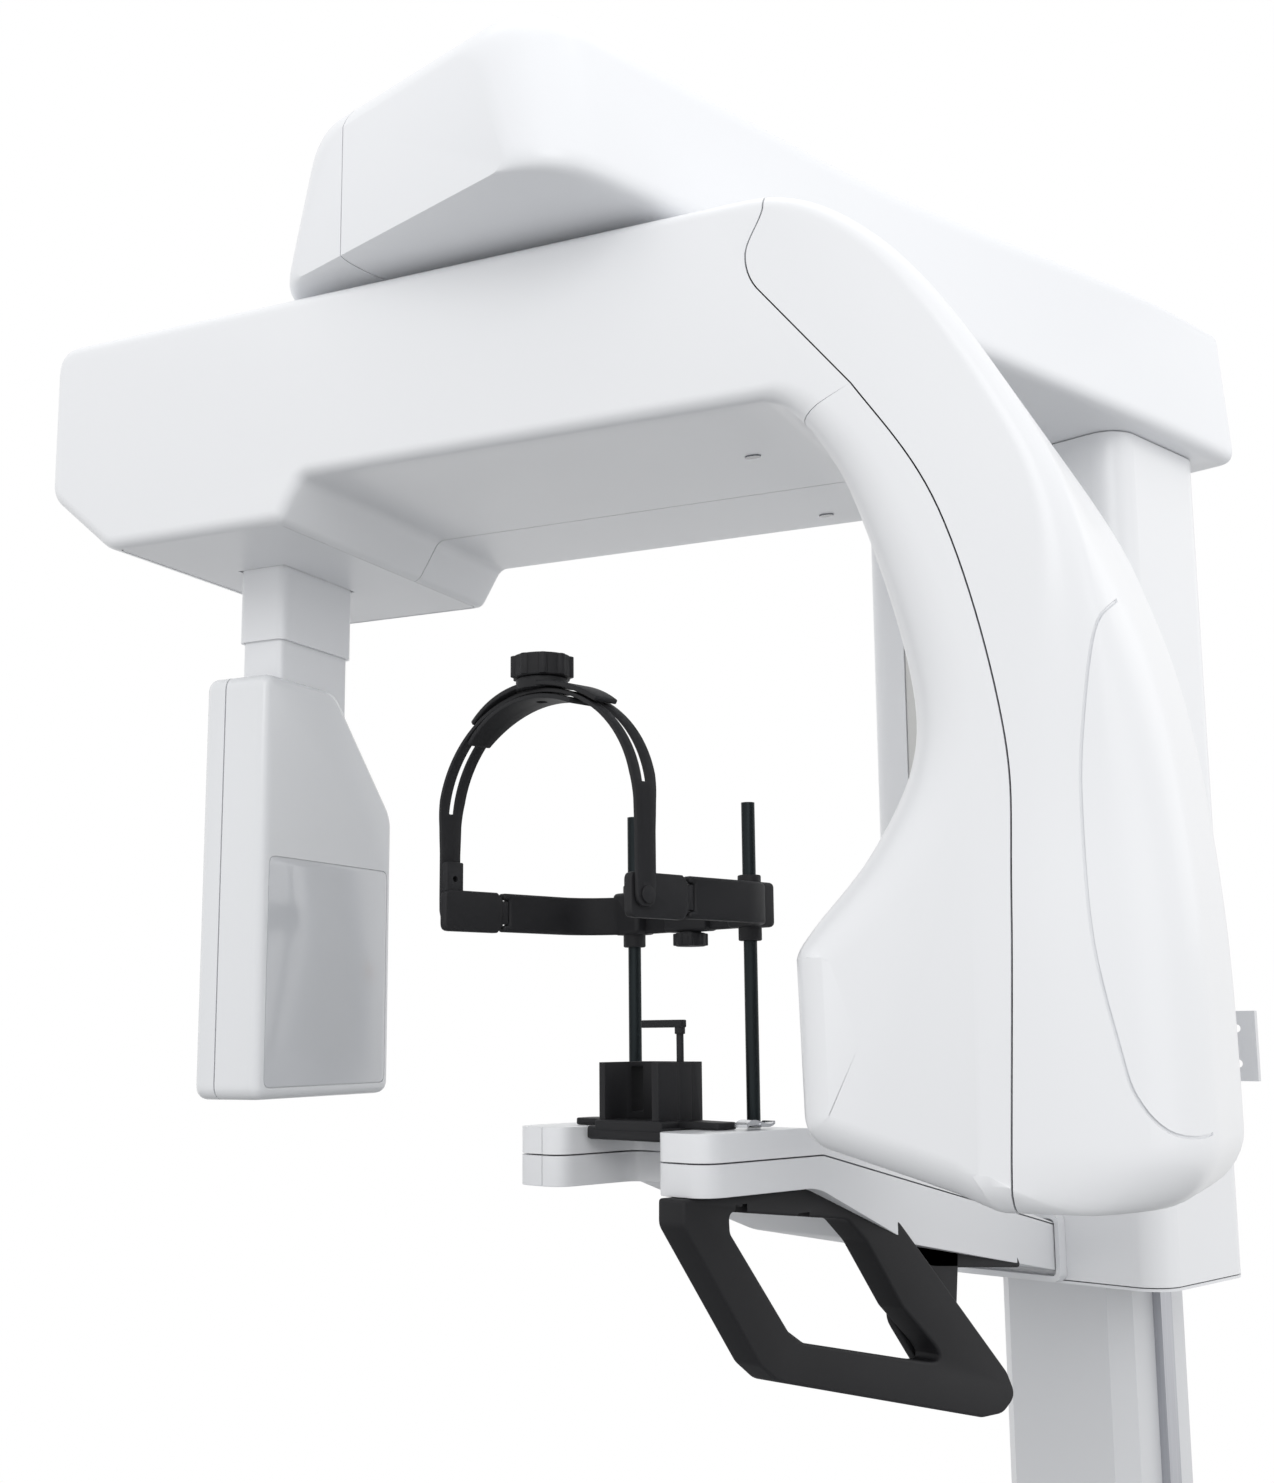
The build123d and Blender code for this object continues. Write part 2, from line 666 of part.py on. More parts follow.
with BuildPart() as spindle:
    with Locations((0, axis_y, (beam_top - 45 + pulley_z + 12) / 2)):
        Cylinder(spindle_radius, pulley_z + 12 - beam_top + 45)
    with Locations((0, axis_y, beam_top - 40)):
        Cylinder(60, 10)
    with Locations((0, axis_y, pulley_z)):
        Cylinder(pulley_radius, 14)
    with Locations((0, axis_y, (beam_top + pulley_z) / 2)):
        Cylinder(22, 300, mode=Mode.SUBTRACT)
write(spindle, "spindle")

with BuildPart() as indicator_lenses:
    for across in lens_across:
        with BuildSketch(arm_at(lens_u, across, beam_depth + 1)):
            Ellipse(7, 4)
        extrude(amount=wall)
write(indicator_lenses, "indicator_lenses")

# ================= detector =================
sleeve_low = beam_depth + box_drop + 70
with BuildPart() as neck_sleeve:
    with BuildSketch(arm_at(-neck_centre, 0, sleeve_low)):
        RectangleRounded(2 * neck_half_u, 2 * neck_half_w, 8)
        RectangleRounded(2 * neck_half_u - 6, 2 * neck_half_w - 6, 5, mode=Mode.SUBTRACT)
    extrude(amount=sleeve_low - spine_drop - spine_width / 2 - 3)
write(neck_sleeve, "neck_sleeve")

slider_top = spine_drop + spine_width / 2 + 35
slider_low = detector_drop + 70
slider_u = 2 * neck_half_u - 6 - 2 * clear
slider_w = 2 * neck_half_w - 6 - 2 * clear
with BuildPart() as neck_slider:
    with BuildSketch(arm_at(-neck_centre, 0, slider_low)):
        RectangleRounded(slider_u, slider_w, 5)
    extrude(amount=slider_low - slider_top)
write(neck_slider, "neck_slider")

detector_back = detector_face + detector_thick
detector_low = detector_drop + detector_height


def detector_plane(u):
    # faces along the beam, X across it, origin at the foot of the detector
    return Plane(origin=axis_top - arm_dir * u - Vector(0, 0, detector_low), x_dir=-arm_side, z_dir=arm_dir)


def detector_outline(inset):
    half = detector_half - inset
    top = detector_height - inset
    with BuildLine() as outline:
        FilletPolyline((-half, inset), (half, inset), (half, top - 110), (4, top), (-half, top), radius=8,
                       close=True)
    return outline.line


split_u = detector_back - 24


def detector_shell(near, far, open_near):
    # box shell between two distances from the axis, open on the side that meets the other shell
    with BuildPart() as shell:
        with BuildSketch(detector_plane(far)):
            add(detector_outline(0))
            make_face()
        extrude(amount=far - near)
        with BuildSketch(detector_plane(far if not open_near else far - 3)):
            add(detector_outline(3))
            make_face()
        extrude(amount=far - near - 3, mode=Mode.SUBTRACT)
        with BuildSketch(arm_at(-neck_centre, 0, slider_low + 1)):
            Rectangle(slider_u + 0.4, slider_w + 0.4)
        extrude(amount=slider_low, mode=Mode.SUBTRACT)
    return shell


panel_half_w = 96
panel_height = 206
with BuildPart() as detector_front:
    add(detector_shell(detector_face, split_u - seam / 2, False).part)
    with BuildSketch(detector_plane(detector_face + 3.5)):
        with Locations((0, 10 + panel_height / 2)):
            RectangleRounded(2 * panel_half_w, panel_height, 6)
    extrude(amount=5, mode=Mode.SUBTRACT)
write(detector_front, "detector_front")

detector_rear = detector_shell(split_u + seam / 2, detector_back, True)
write(detector_rear, "detector_rear")

with BuildPart() as detector_window:
    with BuildSketch(detector_plane(detector_face + 3)):
        with Locations((0, 10 + panel_height / 2)):
            RectangleRounded(2 * panel_half_w - 1, panel_height - 1, 5.5)
    extrude(amount=2.6)
write(detector_window, "detector_window")

with BuildPart() as sensor:
    with BuildSketch(detector_plane(detector_face + 22)):
        with Locations((0, 10 + panel_height / 2)):
            Rectangle(160, 170)
    extrude(amount=16)
write(sensor, "sensor")

# ================= patient table and its arm =================
table_front_y = axis_y - table_front
notch_y = rods_y - 16
neck_y = rods_y + 39
root_half = 58
root_top = carriage_bottom + 60
root_seam = carriage_bottom + 46
root_bottom = carriage_bottom + 15
root_y = carriage_front - 0.5


def table_solid(inset):
    # plan outline of the table and its tapering arm, cut to its side view
    half = table_half - inset
    notch = notch_half + inset
    front = table_front_y + inset
    with BuildPart() as solid:
        with BuildSketch(Plane.XY.offset(root_bottom - 40)):
            with BuildLine():
                FilletPolyline((notch, front), (half, front), (half, neck_y), (root_half - inset, root_y),
                               (-root_half + inset, root_y), (-half, neck_y), (-half, front), (-notch, front),
                               (-notch, notch_y + inset), (notch, notch_y + inset), radius=13, close=True)
            make_face()
        extrude(amount=table_top - root_bottom + 80)
        with BuildSketch(Plane.YZ.offset(-table_half - 20)):
            with BuildLine():
                FilletPolyline((table_front_y - 40, table_bottom + inset), (neck_y - 10, table_bottom + inset),
                               (neck_y + 150, table_bottom - 62 + inset), (root_y + 40, root_bottom - 10 + inset),
                               (root_y + 40, root_top - 10 - inset), (rods_y + 24, table_top - inset),
                               (table_front_y - 40, table_top - inset), radius=10, close=True)
            make_face()
        extrude(amount=2 * table_half + 40, mode=Mode.INTERSECT)
    return solid.part


def table_seam_zone(up, gap):
    # side-view region above or below the line where the two table covers meet
    far = 300 if up else -300
    with BuildLine() as zone:
        Polyline((table_front_y - 40, table_seam + gap), (neck_y, table_seam + gap),
                 (root_y + 60, root_seam + gap), (root_y + 60, root_seam + far),
                 (table_front_y - 40, table_seam + far), (table_front_y - 40, table_seam + gap))
    return zone.line


table_outer = table_solid(0)
table_inner = table_solid(wall)
for up, gap, name in ((True, seam / 2, "table_top_cover"), (False, -seam / 2, "table_bottom_cover")):
    with BuildPart() as table_cover:
        add(table_outer)
        add(table_inner, mode=Mode.SUBTRACT)
        with BuildSketch(Plane.YZ.offset(-table_half - 20)):
            add(table_seam_zone(up, gap))
            make_face()
        extrude(amount=2 * table_half + 40, mode=Mode.INTERSECT)
        with Locations((rod_x, rods_y, table_top), (-rod_x, rods_y, table_top)):
            Cylinder(rod_radius + 0.6, 30, mode=Mode.SUBTRACT)
    write(table_cover, name)

socket_low = table_bottom + 9
with BuildPart() as support_frame:
    with BuildSketch(Plane.YZ.offset(-tongue_width / 2)):
        with BuildLine():
            Polyline((rods_y - 10, socket_low), (neck_y, socket_low), (neck_y + 145, table_bottom - 50),
                     (root_y, tongue_z - tongue_high / 2), (frame_front, tongue_z - tongue_high / 2),
                     (frame_front, tongue_z + tongue_high / 2), (root_y, tongue_z + tongue_high / 2),
                     (neck_y, table_top - 26), (rods_y - 10, table_top - 26),
                     (rods_y - 10, socket_low))
        make_face()
    extrude(amount=tongue_width)
    with Locations((0, rods_y, socket_low + 11)):
        Box(rod_spacing + 26, 22, 22)
    with Locations((rod_x, rods_y, socket_low), (-rod_x, rods_y, socket_low)):
        Cylinder(rod_radius + 0.05, 60, mode=Mode.SUBTRACT)
write(support_frame, "support_frame")

with BuildPart() as arm_collar:
    with BuildSketch(Plane(origin=(0, carriage_front - 0.3, (root_bottom + root_top) / 2), x_dir=(1, 0, 0),
                           z_dir=(0, -1, 0))):
        RectangleRounded(2 * root_half + 16, root_top - root_bottom + 26, 10)
        RectangleRounded(2 * root_half + 6, root_top - root_bottom + 14, 6, mode=Mode.SUBTRACT)
    extrude(amount=13)
write(arm_collar, "arm_collar")

with BuildPart() as support_rods:
    with Locations((rod_x, rods_y, (socket_low + table_top + rod_length) / 2),
                   (-rod_x, rods_y, (socket_low + table_top + rod_length) / 2)):
        Cylinder(rod_radius, table_top + rod_length - socket_low)
write(support_rods, "support_rods")

# ================= handle =================
handle_x = 87
handle_half = 15


def handle_loop(points, radius):
    with BuildLine() as loop:
        FilletPolyline(*[(table_front_y + y, table_bottom - z) for y, z in points], radius=radius, close=True)
    return loop.line


table_keepout = table_solid(-0.4)
with BuildPart() as handle:
    with BuildSketch(Plane.YZ.offset(handle_x - handle_half)):
        add(handle_loop([(-10, 0.4), (-10, 28), (90, 152), (440, 236), (456, 212), (255, 12), (238, -8),
                         (160, 0.4)], 12))
        make_face()
        add(handle_loop([(46, 15), (203, 33), (262, 101), (350, 174), (130, 126), (112, 112), (46, 34)], 10))
        make_face(mode=Mode.SUBTRACT)
    extrude(amount=2 * handle_half)
    with Locations((handle_x, table_front_y + 76, table_bottom - 16),
                   (handle_x, table_front_y + 120, table_bottom - 22)):
        Cylinder(6, 12, mode=Mode.SUBTRACT)
    add(table_keepout, mode=Mode.SUBTRACT)
write(handle, "handle")

stay_out = handle_x - handle_half - 0.3
with BuildPart() as handle_stay:
    with BuildSketch(Plane.YZ.offset(stay_out - 8)):
        add(handle_loop([(326, 60), (414, 78), (392, 190), (368, 214), (280, 178)], 6))
        make_face()
    extrude(amount=8)
    with BuildSketch(Plane.YZ.offset(stay_out - 24)):
        add(handle_loop([(316, 60), (524, 98), (524, 112), (316, 74)], 2))
        make_face()
    extrude(amount=24)
    add(table_keepout, mode=Mode.SUBTRACT)
write(handle_stay, "handle_stay")

# ================= head support =================
yoke_top = table_top + 208
yoke_high = 35
yoke_y = rods_y - 128
arm_x = 116
bush_radius = 10.5
screw_radius = 5
with BuildPart() as yoke:
    with BuildSketch(Plane.XY.offset(yoke_top - yoke_high)):
        with BuildLine():
            FilletPolyline((-arm_x, yoke_y), (-arm_x, rods_y - 30), (-rod_x - 8, rods_y), (rod_x + 8, rods_y),
                           (arm_x, rods_y - 30), (arm_x, yoke_y), radius=16)
        trace(line_width=9)
    extrude(amount=yoke_high)
    with BuildSketch(Plane.XY.offset(yoke_top - yoke_high - 1)):
        with Locations((rod_x, rods_y), (-rod_x, rods_y)):
            RectangleRounded(30, 28, 6)
        with Locations((0, rods_y)):
            RectangleRounded(60, 24, 6)
    extrude(amount=yoke_high + 6)
    with Locations((rod_x, rods_y, yoke_top), (-rod_x, rods_y, yoke_top)):
        Cylinder(bush_radius + 0.05, 200, mode=Mode.SUBTRACT)
    with Locations((0, rods_y, yoke_top - yoke_high - 1)):
        Cylinder(screw_radius + 0.05, 24, mode=Mode.SUBTRACT)
write(yoke, "yoke")

with BuildPart() as rod_bushes:
    with Locations((rod_x, rods_y, yoke_top - yoke_high / 2 + 2),
                   (-rod_x, rods_y, yoke_top - yoke_high / 2 + 2)):
        Cylinder(bush_radius, yoke_high + 22)
        Cylinder(rod_radius + 0.05, yoke_high + 22, mode=Mode.SUBTRACT)
write(rod_bushes, "rod_bushes")

with BuildPart() as lock_knob:
    with Locations((0, rods_y, yoke_top - yoke_high - 8)):
        Cylinder(16, 12)
    with Locations((0, rods_y, yoke_top - yoke_high - 8)):
        with PolarLocations(17.5, 8):
            Cylinder(3.5, 12, mode=Mode.SUBTRACT)
    with Locations((0, rods_y, yoke_top - yoke_high + 3)):
        Cylinder(screw_radius, 14)
write(lock_knob, "lock_knob")

pad_y = yoke_y - 34
pad_z = yoke_top - 18
with BuildPart() as temple_pads:
    for side in (-1, 1):
        with BuildSketch(Plane.YZ.offset(side * arm_x - 4)):
            with Locations((pad_y, pad_z)):
                RectangleRounded(68 - 2 * clear, 37, 6)
        extrude(amount=8)
write(temple_pads, "temple_pads")

pivot_y = pad_y - 20
with BuildPart() as pivot_pins:
    for side in (-1, 1):
        with BuildSketch(Plane.YZ.offset(side * (arm_x + 4))):
            with Locations((pivot_y, pad_z)):
                Circle(4)
        extrude(amount=side * 5.5)
        with BuildSketch(Plane.YZ.offset(side * (arm_x + 9.5))):
            with Locations((pivot_y, pad_z)):
                Circle(7)
        extrude(amount=side * 2)
write(pivot_pins, "pivot_pins")

strap_x = arm_x + 7
strap_thick = 3.6
strap_width = 24
crown_z = table_top + 370
knob_radius = 26.5
knob_high = 20
knob_scallops = 10
spring_z = crown_z - 104


def band(outer_half, rise, thick):
    # arch with straight legs, seen from the front: half an ellipse on top of two posts
    leg = spring_z - pad_z + 14
    with BuildSketch(Plane.XY, mode=Mode.PRIVATE) as ring:
        with Locations((0, spring_z)):
            Ellipse(outer_half, rise)
            Ellipse(outer_half - thick, rise - thick, mode=Mode.SUBTRACT)
        with Locations((0, spring_z - rise)):
            Rectangle(3 * outer_half, 2 * rise, mode=Mode.SUBTRACT)
        with Locations((outer_half - thick / 2, spring_z - leg / 2),
                       (-outer_half + thick / 2, spring_z - leg / 2)):
            Rectangle(thick, leg)
    return ring.sketch


front_plane = Plane(origin=(0, pivot_y, 0), x_dir=(1, 0, 0), z_dir=(0, -1, 0))
with BuildPart() as arch_straps:
    with BuildSketch(front_plane):
        add(band(strap_x + strap_thick / 2, crown_z - spring_z, strap_thick))
    extrude(amount=strap_width / 2, both=True)
    with Locations((0, pivot_y, crown_z)):
        Box(44, 60, 40, mode=Mode.SUBTRACT)
    with BuildSketch(front_plane):
        with Locations((0, spring_z + 34)):
            Rectangle(3 * strap_x, 74)
    extrude(amount=2.6, both=True, mode=Mode.SUBTRACT)
    with BuildSketch(Plane.YZ.offset(-2 * strap_x)):
        with Locations((pivot_y, pad_z)):
            Circle(4.05)
    extrude(amount=4 * strap_x, mode=Mode.SUBTRACT)
write(arch_straps, "arch_straps")

with BuildPart() as arch_saddle:
    with BuildSketch(front_plane):
        add(band(strap_x + strap_thick / 2 + 5, crown_z - spring_z + 5, 4.6))
    extrude(amount=19, both=True)
    with Locations((0, pivot_y, crown_z)):
        Box(176, 60, 92, mode=Mode.INTERSECT)
    with Locations((0, pivot_y, crown_z + 6)):
        Cylinder(21, 10)
        Cylinder(screw_radius + 0.05, 40, mode=Mode.SUBTRACT)
write(arch_saddle, "arch_saddle")

with BuildPart() as arch_knob:
    with Locations((0, pivot_y, crown_z + 11.5 + knob_high / 2)):
        Cylinder(knob_radius, knob_high)
        with PolarLocations(knob_radius + 3.5, knob_scallops):
            Cylinder(6, knob_high, mode=Mode.SUBTRACT)
    chamfer(arch_knob.faces().sort_by(Axis.Z)[-1].edges(), 2)
    with Locations((0, pivot_y, crown_z + 5)):
        Cylinder(screw_radius, 14)
write(arch_knob, "arch_knob")

# ================= chin rest =================
chin_y = rods_y - 52
chin_low = table_top + 0.3
cup_high = 50
cup_low = chin_low + 6
cup_wide = 72
cup_deep = 60
cup_wall = 7
cup_slot = 7
bite_x = 29
bite_y = chin_y + 6
bite_top = cup_low + cup_high + 33
bite_radius = 3.2
with BuildPart() as chin_rest:
    with BuildSketch(Plane.XY.offset(chin_low)):
        with Locations((0, chin_y + 2)):
            RectangleRounded(178, 26, 5)
        with Locations((0, chin_y)):
            RectangleRounded(cup_wide + 8, cup_deep - 8, 8)
    extrude(amount=cup_low - chin_low)
    with Locations((0, chin_y, chin_low - 5)):
        Box(2 * notch_half - 10, 40, 12)
    with BuildSketch(Plane.XY.offset(cup_low)):
        with Locations((0, chin_y)):
            RectangleRounded(cup_wide, cup_deep, 6)
        with Locations((0, chin_y - cup_deep / 2)):
            Ellipse(cup_wide / 2 - cup_wall, cup_deep - cup_wall - 3, mode=Mode.SUBTRACT)
        with Locations((-18, chin_y + cup_deep / 2 - 8)):
            Rectangle(cup_slot, 30, mode=Mode.SUBTRACT)
        with Locations((cup_wide / 2, chin_y + 14), (cup_wide / 2, chin_y - 12)):
            Rectangle(4, 3, mode=Mode.SUBTRACT)
    extrude(amount=cup_high)
    with Locations((bite_x, bite_y, cup_low + 10 + cup_high)):
        Cylinder(bite_radius + 0.05, 2 * cup_high, mode=Mode.SUBTRACT)
write(chin_rest, "chin_rest")

bite_low = cup_low + 10.3
with BuildPart() as bite_rod:
    with Locations((bite_x, bite_y, (bite_low + bite_top) / 2)):
        Cylinder(bite_radius, bite_top - bite_low)
    with BuildSketch(Plane.XY.offset(bite_top - 3.5)):
        with Locations((bite_x - 20, bite_y)):
            RectangleRounded(50, 9, 3)
    extrude(amount=7)
write(bite_rod, "bite_rod")

# ================= controls and small parts =================
rocker_x = 102
rocker_y = rods_y - 32
with BuildPart() as height_rocker:
    with BuildSketch(Plane.YZ.offset(rocker_x - 7)):
        with BuildLine():
            Spline((rocker_y - 18, table_top + 2.5), (rocker_y - 6, table_top + 4.5), (rocker_y + 8, table_top + 2.2),
                   (rocker_y + 18, table_top + 4.5))
            Line((rocker_y + 18, table_top + 4.5), (rocker_y + 18, table_top + 7))
            Spline((rocker_y + 18, table_top + 7), (rocker_y + 8, table_top + 5), (rocker_y - 6, table_top + 8.5),
                   (rocker_y - 18, table_top + 5))
            Line((rocker_y - 18, table_top + 5), (rocker_y - 18, table_top + 2.5))
        make_face()
    extrude(amount=14)
    with Locations((rocker_x, rocker_y, table_top + 4.8)):
        Cylinder(1.5, 16, rotation=(0, 90, 0))
write(height_rocker, "height_rocker")

stop_z = carriage_bottom + 330
stem_radius = 12
with BuildPart() as stop_housing:
    with BuildSketch(Plane.YZ.offset(-carriage_half)):
        with Locations((0, stop_z)):
            Circle(24)
            Circle(stem_radius + 0.05, mode=Mode.SUBTRACT)
    extrude(amount=-8)
write(stop_housing, "stop_housing")

with BuildPart() as emergency_stop:
    with BuildSketch(Plane.YZ.offset(-carriage_half - 14)):
        with Locations((0, stop_z)):
            Circle(19)
    extrude(amount=-10)
    fillet(emergency_stop.faces().sort_by(Axis.X)[0].edges(), 4)
    with BuildSketch(Plane.YZ.offset(-carriage_half - 14)):
        with Locations((0, stop_z)):
            Circle(stem_radius)
    extrude(amount=8)
write(emergency_stop, "emergency_stop")
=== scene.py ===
# Looks for a panoramic dental x-ray machine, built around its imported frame.
# Sizes are in millimetres until a mesh is made; mm turns them into metres.
import bpy
import bmesh
from math import cos, hypot, pi, radians, sin, sqrt
from mathutils import Matrix, Vector


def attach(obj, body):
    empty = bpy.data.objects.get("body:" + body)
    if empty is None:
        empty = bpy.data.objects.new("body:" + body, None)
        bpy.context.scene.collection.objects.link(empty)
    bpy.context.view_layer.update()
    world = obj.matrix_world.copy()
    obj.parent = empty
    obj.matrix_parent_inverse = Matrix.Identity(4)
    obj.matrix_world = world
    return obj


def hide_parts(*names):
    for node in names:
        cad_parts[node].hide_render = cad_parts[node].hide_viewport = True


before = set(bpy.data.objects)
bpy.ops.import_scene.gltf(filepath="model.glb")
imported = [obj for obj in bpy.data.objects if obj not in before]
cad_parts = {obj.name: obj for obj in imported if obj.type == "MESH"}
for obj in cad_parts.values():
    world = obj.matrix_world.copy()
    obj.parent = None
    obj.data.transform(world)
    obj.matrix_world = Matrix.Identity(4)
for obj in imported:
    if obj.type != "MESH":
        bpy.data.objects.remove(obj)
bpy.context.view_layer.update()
mm = 0.001
print("frame loaded")


# ---- camera, light and floor ----
cameraLook = {"place": (1104, -1755, 1440), "heading": 45, "pitch": 9.457, "roll": -0.492, "lens": 42.56}
studio = {"floorRadius": 3.4, "floorTint": (0.26, 0.265, 0.27), "skyTint": (1.0, 1.0, 1.0), "skyPower": 1.0}


def addCamera(look):
    data = bpy.data.cameras.new("camera")
    data.sensor_fit = "VERTICAL"
    data.sensor_height = 36
    data.sensor_width = 36
    data.lens = look["lens"]
    data.clip_end = 60
    camera = bpy.data.objects.new("camera", data)
    bpy.context.scene.collection.objects.link(camera)
    turn = (Matrix.Rotation(radians(look["heading"]), 4, "Z")
            @ Matrix.Rotation(radians(90 + look["pitch"]), 4, "X")
            @ Matrix.Rotation(radians(look["roll"]), 4, "Z"))
    camera.matrix_world = Matrix.Translation(Vector(look["place"]) * mm) @ turn
    bpy.context.scene.camera = camera


def addLight(name, place, aim, size, power, tint=(1, 1, 1)):
    data = bpy.data.lights.new(name, "AREA")
    data.shape = "RECTANGLE"
    data.size, data.size_y = size
    data.energy = power
    data.color = tint
    light = bpy.data.objects.new(name, data)
    bpy.context.scene.collection.objects.link(light)
    light.location = place
    light.rotation_euler = (Vector(aim) - Vector(place)).to_track_quat("-Z", "Y").to_euler()


addCamera(cameraLook)
addLight("keySoftbox", (3.2, -3.6, 3.8), (0, -0.5, 1.6), (2.2, 2.6), 40)
addLight("fillSoftbox", (-3.6, -2.6, 2.4), (0, -0.5, 1.6), (2.4, 2.6), 1.5, (0.94, 0.97, 1.0))
addLight("topSoftbox", (0, -0.4, 5.2), (0, -0.5, 1.6), (3.0, 3.0), 20)
addLight("backSoftbox", (1.6, 3.6, 3.0), (0, -0.2, 1.6), (2.4, 2.4), 8)
addLight("sideSoftbox", (3.8, 0.6, 1.9), (0.4, -0.5, 1.6), (1.6, 2.4), 8)

world = bpy.data.worlds.new("studioWorld")
bpy.context.scene.world = world
world.use_nodes = True
sky = world.node_tree.nodes["Background"]
sky.inputs["Color"].default_value = (*studio["skyTint"], 1)
sky.inputs["Strength"].default_value = studio["skyPower"]
bpy.context.scene.view_settings.view_transform = "Standard"
print("camera and lights placed")


# ---- shared shader groups ----
def groupSocket(tree, name, way, kind, value=None):
    socket = tree.interface.new_socket(name=name, in_out=way, socket_type=kind)
    if value is not None:
        socket.default_value = value
    return socket


def makeMouldedGroup():
    # fine moulded texture: a slow tint drift, a speckle in the gloss and a small grain height
    tree = bpy.data.node_groups.new("mouldedSurface", "ShaderNodeTree")
    groupSocket(tree, "Tint", "INPUT", "NodeSocketColor", (0.8, 0.8, 0.8, 1))
    groupSocket(tree, "Shade", "INPUT", "NodeSocketColor", (0.7, 0.7, 0.7, 1))
    groupSocket(tree, "Drift Scale", "INPUT", "NodeSocketFloat", 3.0)
    groupSocket(tree, "Grain Scale", "INPUT", "NodeSocketFloat", 900.0)
    groupSocket(tree, "Gloss", "INPUT", "NodeSocketFloat", 0.35)
    groupSocket(tree, "Gloss Spread", "INPUT", "NodeSocketFloat", 0.06)
    groupSocket(tree, "Edge Wear", "INPUT", "NodeSocketFloat", 0.3)
    groupSocket(tree, "Grain Height", "INPUT", "NodeSocketFloat", 0.05)
    groupSocket(tree, "Color", "OUTPUT", "NodeSocketColor")
    groupSocket(tree, "Roughness", "OUTPUT", "NodeSocketFloat")
    groupSocket(tree, "Normal", "OUTPUT", "NodeSocketVector")
    nodes, links = tree.nodes, tree.links
    source = nodes.new("NodeGroupInput")
    result = nodes.new("NodeGroupOutput")
    place = nodes.new("ShaderNodeTexCoord")
    drift = nodes.new("ShaderNodeTexNoise")
    drift.inputs["Detail"].default_value = 4
    grain = nodes.new("ShaderNodeTexNoise")
    grain.inputs["Detail"].default_value = 3
    smudge = nodes.new("ShaderNodeTexNoise")
    smudge.inputs["Scale"].default_value = 14
    smudge.inputs["Detail"].default_value = 5
    for noise in (drift, grain, smudge):
        links.new(place.outputs["Object"], noise.inputs["Vector"])
    links.new(source.outputs["Drift Scale"], drift.inputs["Scale"])
    links.new(source.outputs["Grain Scale"], grain.inputs["Scale"])
    blend = nodes.new("ShaderNodeMix")
    blend.data_type = "RGBA"
    links.new(drift.outputs["Fac"], blend.inputs["Factor"])
    links.new(source.outputs["Tint"], blend.inputs[6])
    links.new(source.outputs["Shade"], blend.inputs[7])
    edge = nodes.new("ShaderNodeAttribute")
    edge.attribute_name = "edgeMask"
    worn = nodes.new("ShaderNodeMath")
    worn.operation = "MULTIPLY"
    links.new(edge.outputs["Fac"], worn.inputs[0])
    links.new(source.outputs["Edge Wear"], worn.inputs[1])
    patchy = nodes.new("ShaderNodeMath")
    patchy.operation = "MULTIPLY"
    links.new(worn.outputs[0], patchy.inputs[0])
    links.new(smudge.outputs["Fac"], patchy.inputs[1])
    rubbed = nodes.new("ShaderNodeMix")
    rubbed.data_type = "RGBA"
    rubbed.inputs[7].default_value = (0.78, 0.79, 0.81, 1)
    links.new(patchy.outputs[0], rubbed.inputs["Factor"])
    links.new(blend.outputs[2], rubbed.inputs[6])
    links.new(rubbed.outputs[2], result.inputs["Color"])
    spread = nodes.new("ShaderNodeMath")
    spread.operation = "MULTIPLY_ADD"
    centred = nodes.new("ShaderNodeMath")
    centred.operation = "SUBTRACT"
    centred.inputs[1].default_value = 0.5
    links.new(smudge.outputs["Fac"], centred.inputs[0])
    links.new(centred.outputs[0], spread.inputs[0])
    links.new(source.outputs["Gloss Spread"], spread.inputs[1])
    links.new(source.outputs["Gloss"], spread.inputs[2])
    links.new(spread.outputs[0], result.inputs["Roughness"])
    bump = nodes.new("ShaderNodeBump")
    bump.inputs["Distance"].default_value = 0.0004
    links.new(source.outputs["Grain Height"], bump.inputs["Strength"])
    links.new(grain.outputs["Fac"], bump.inputs["Height"])
    links.new(bump.outputs["Normal"], result.inputs["Normal"])
    return tree


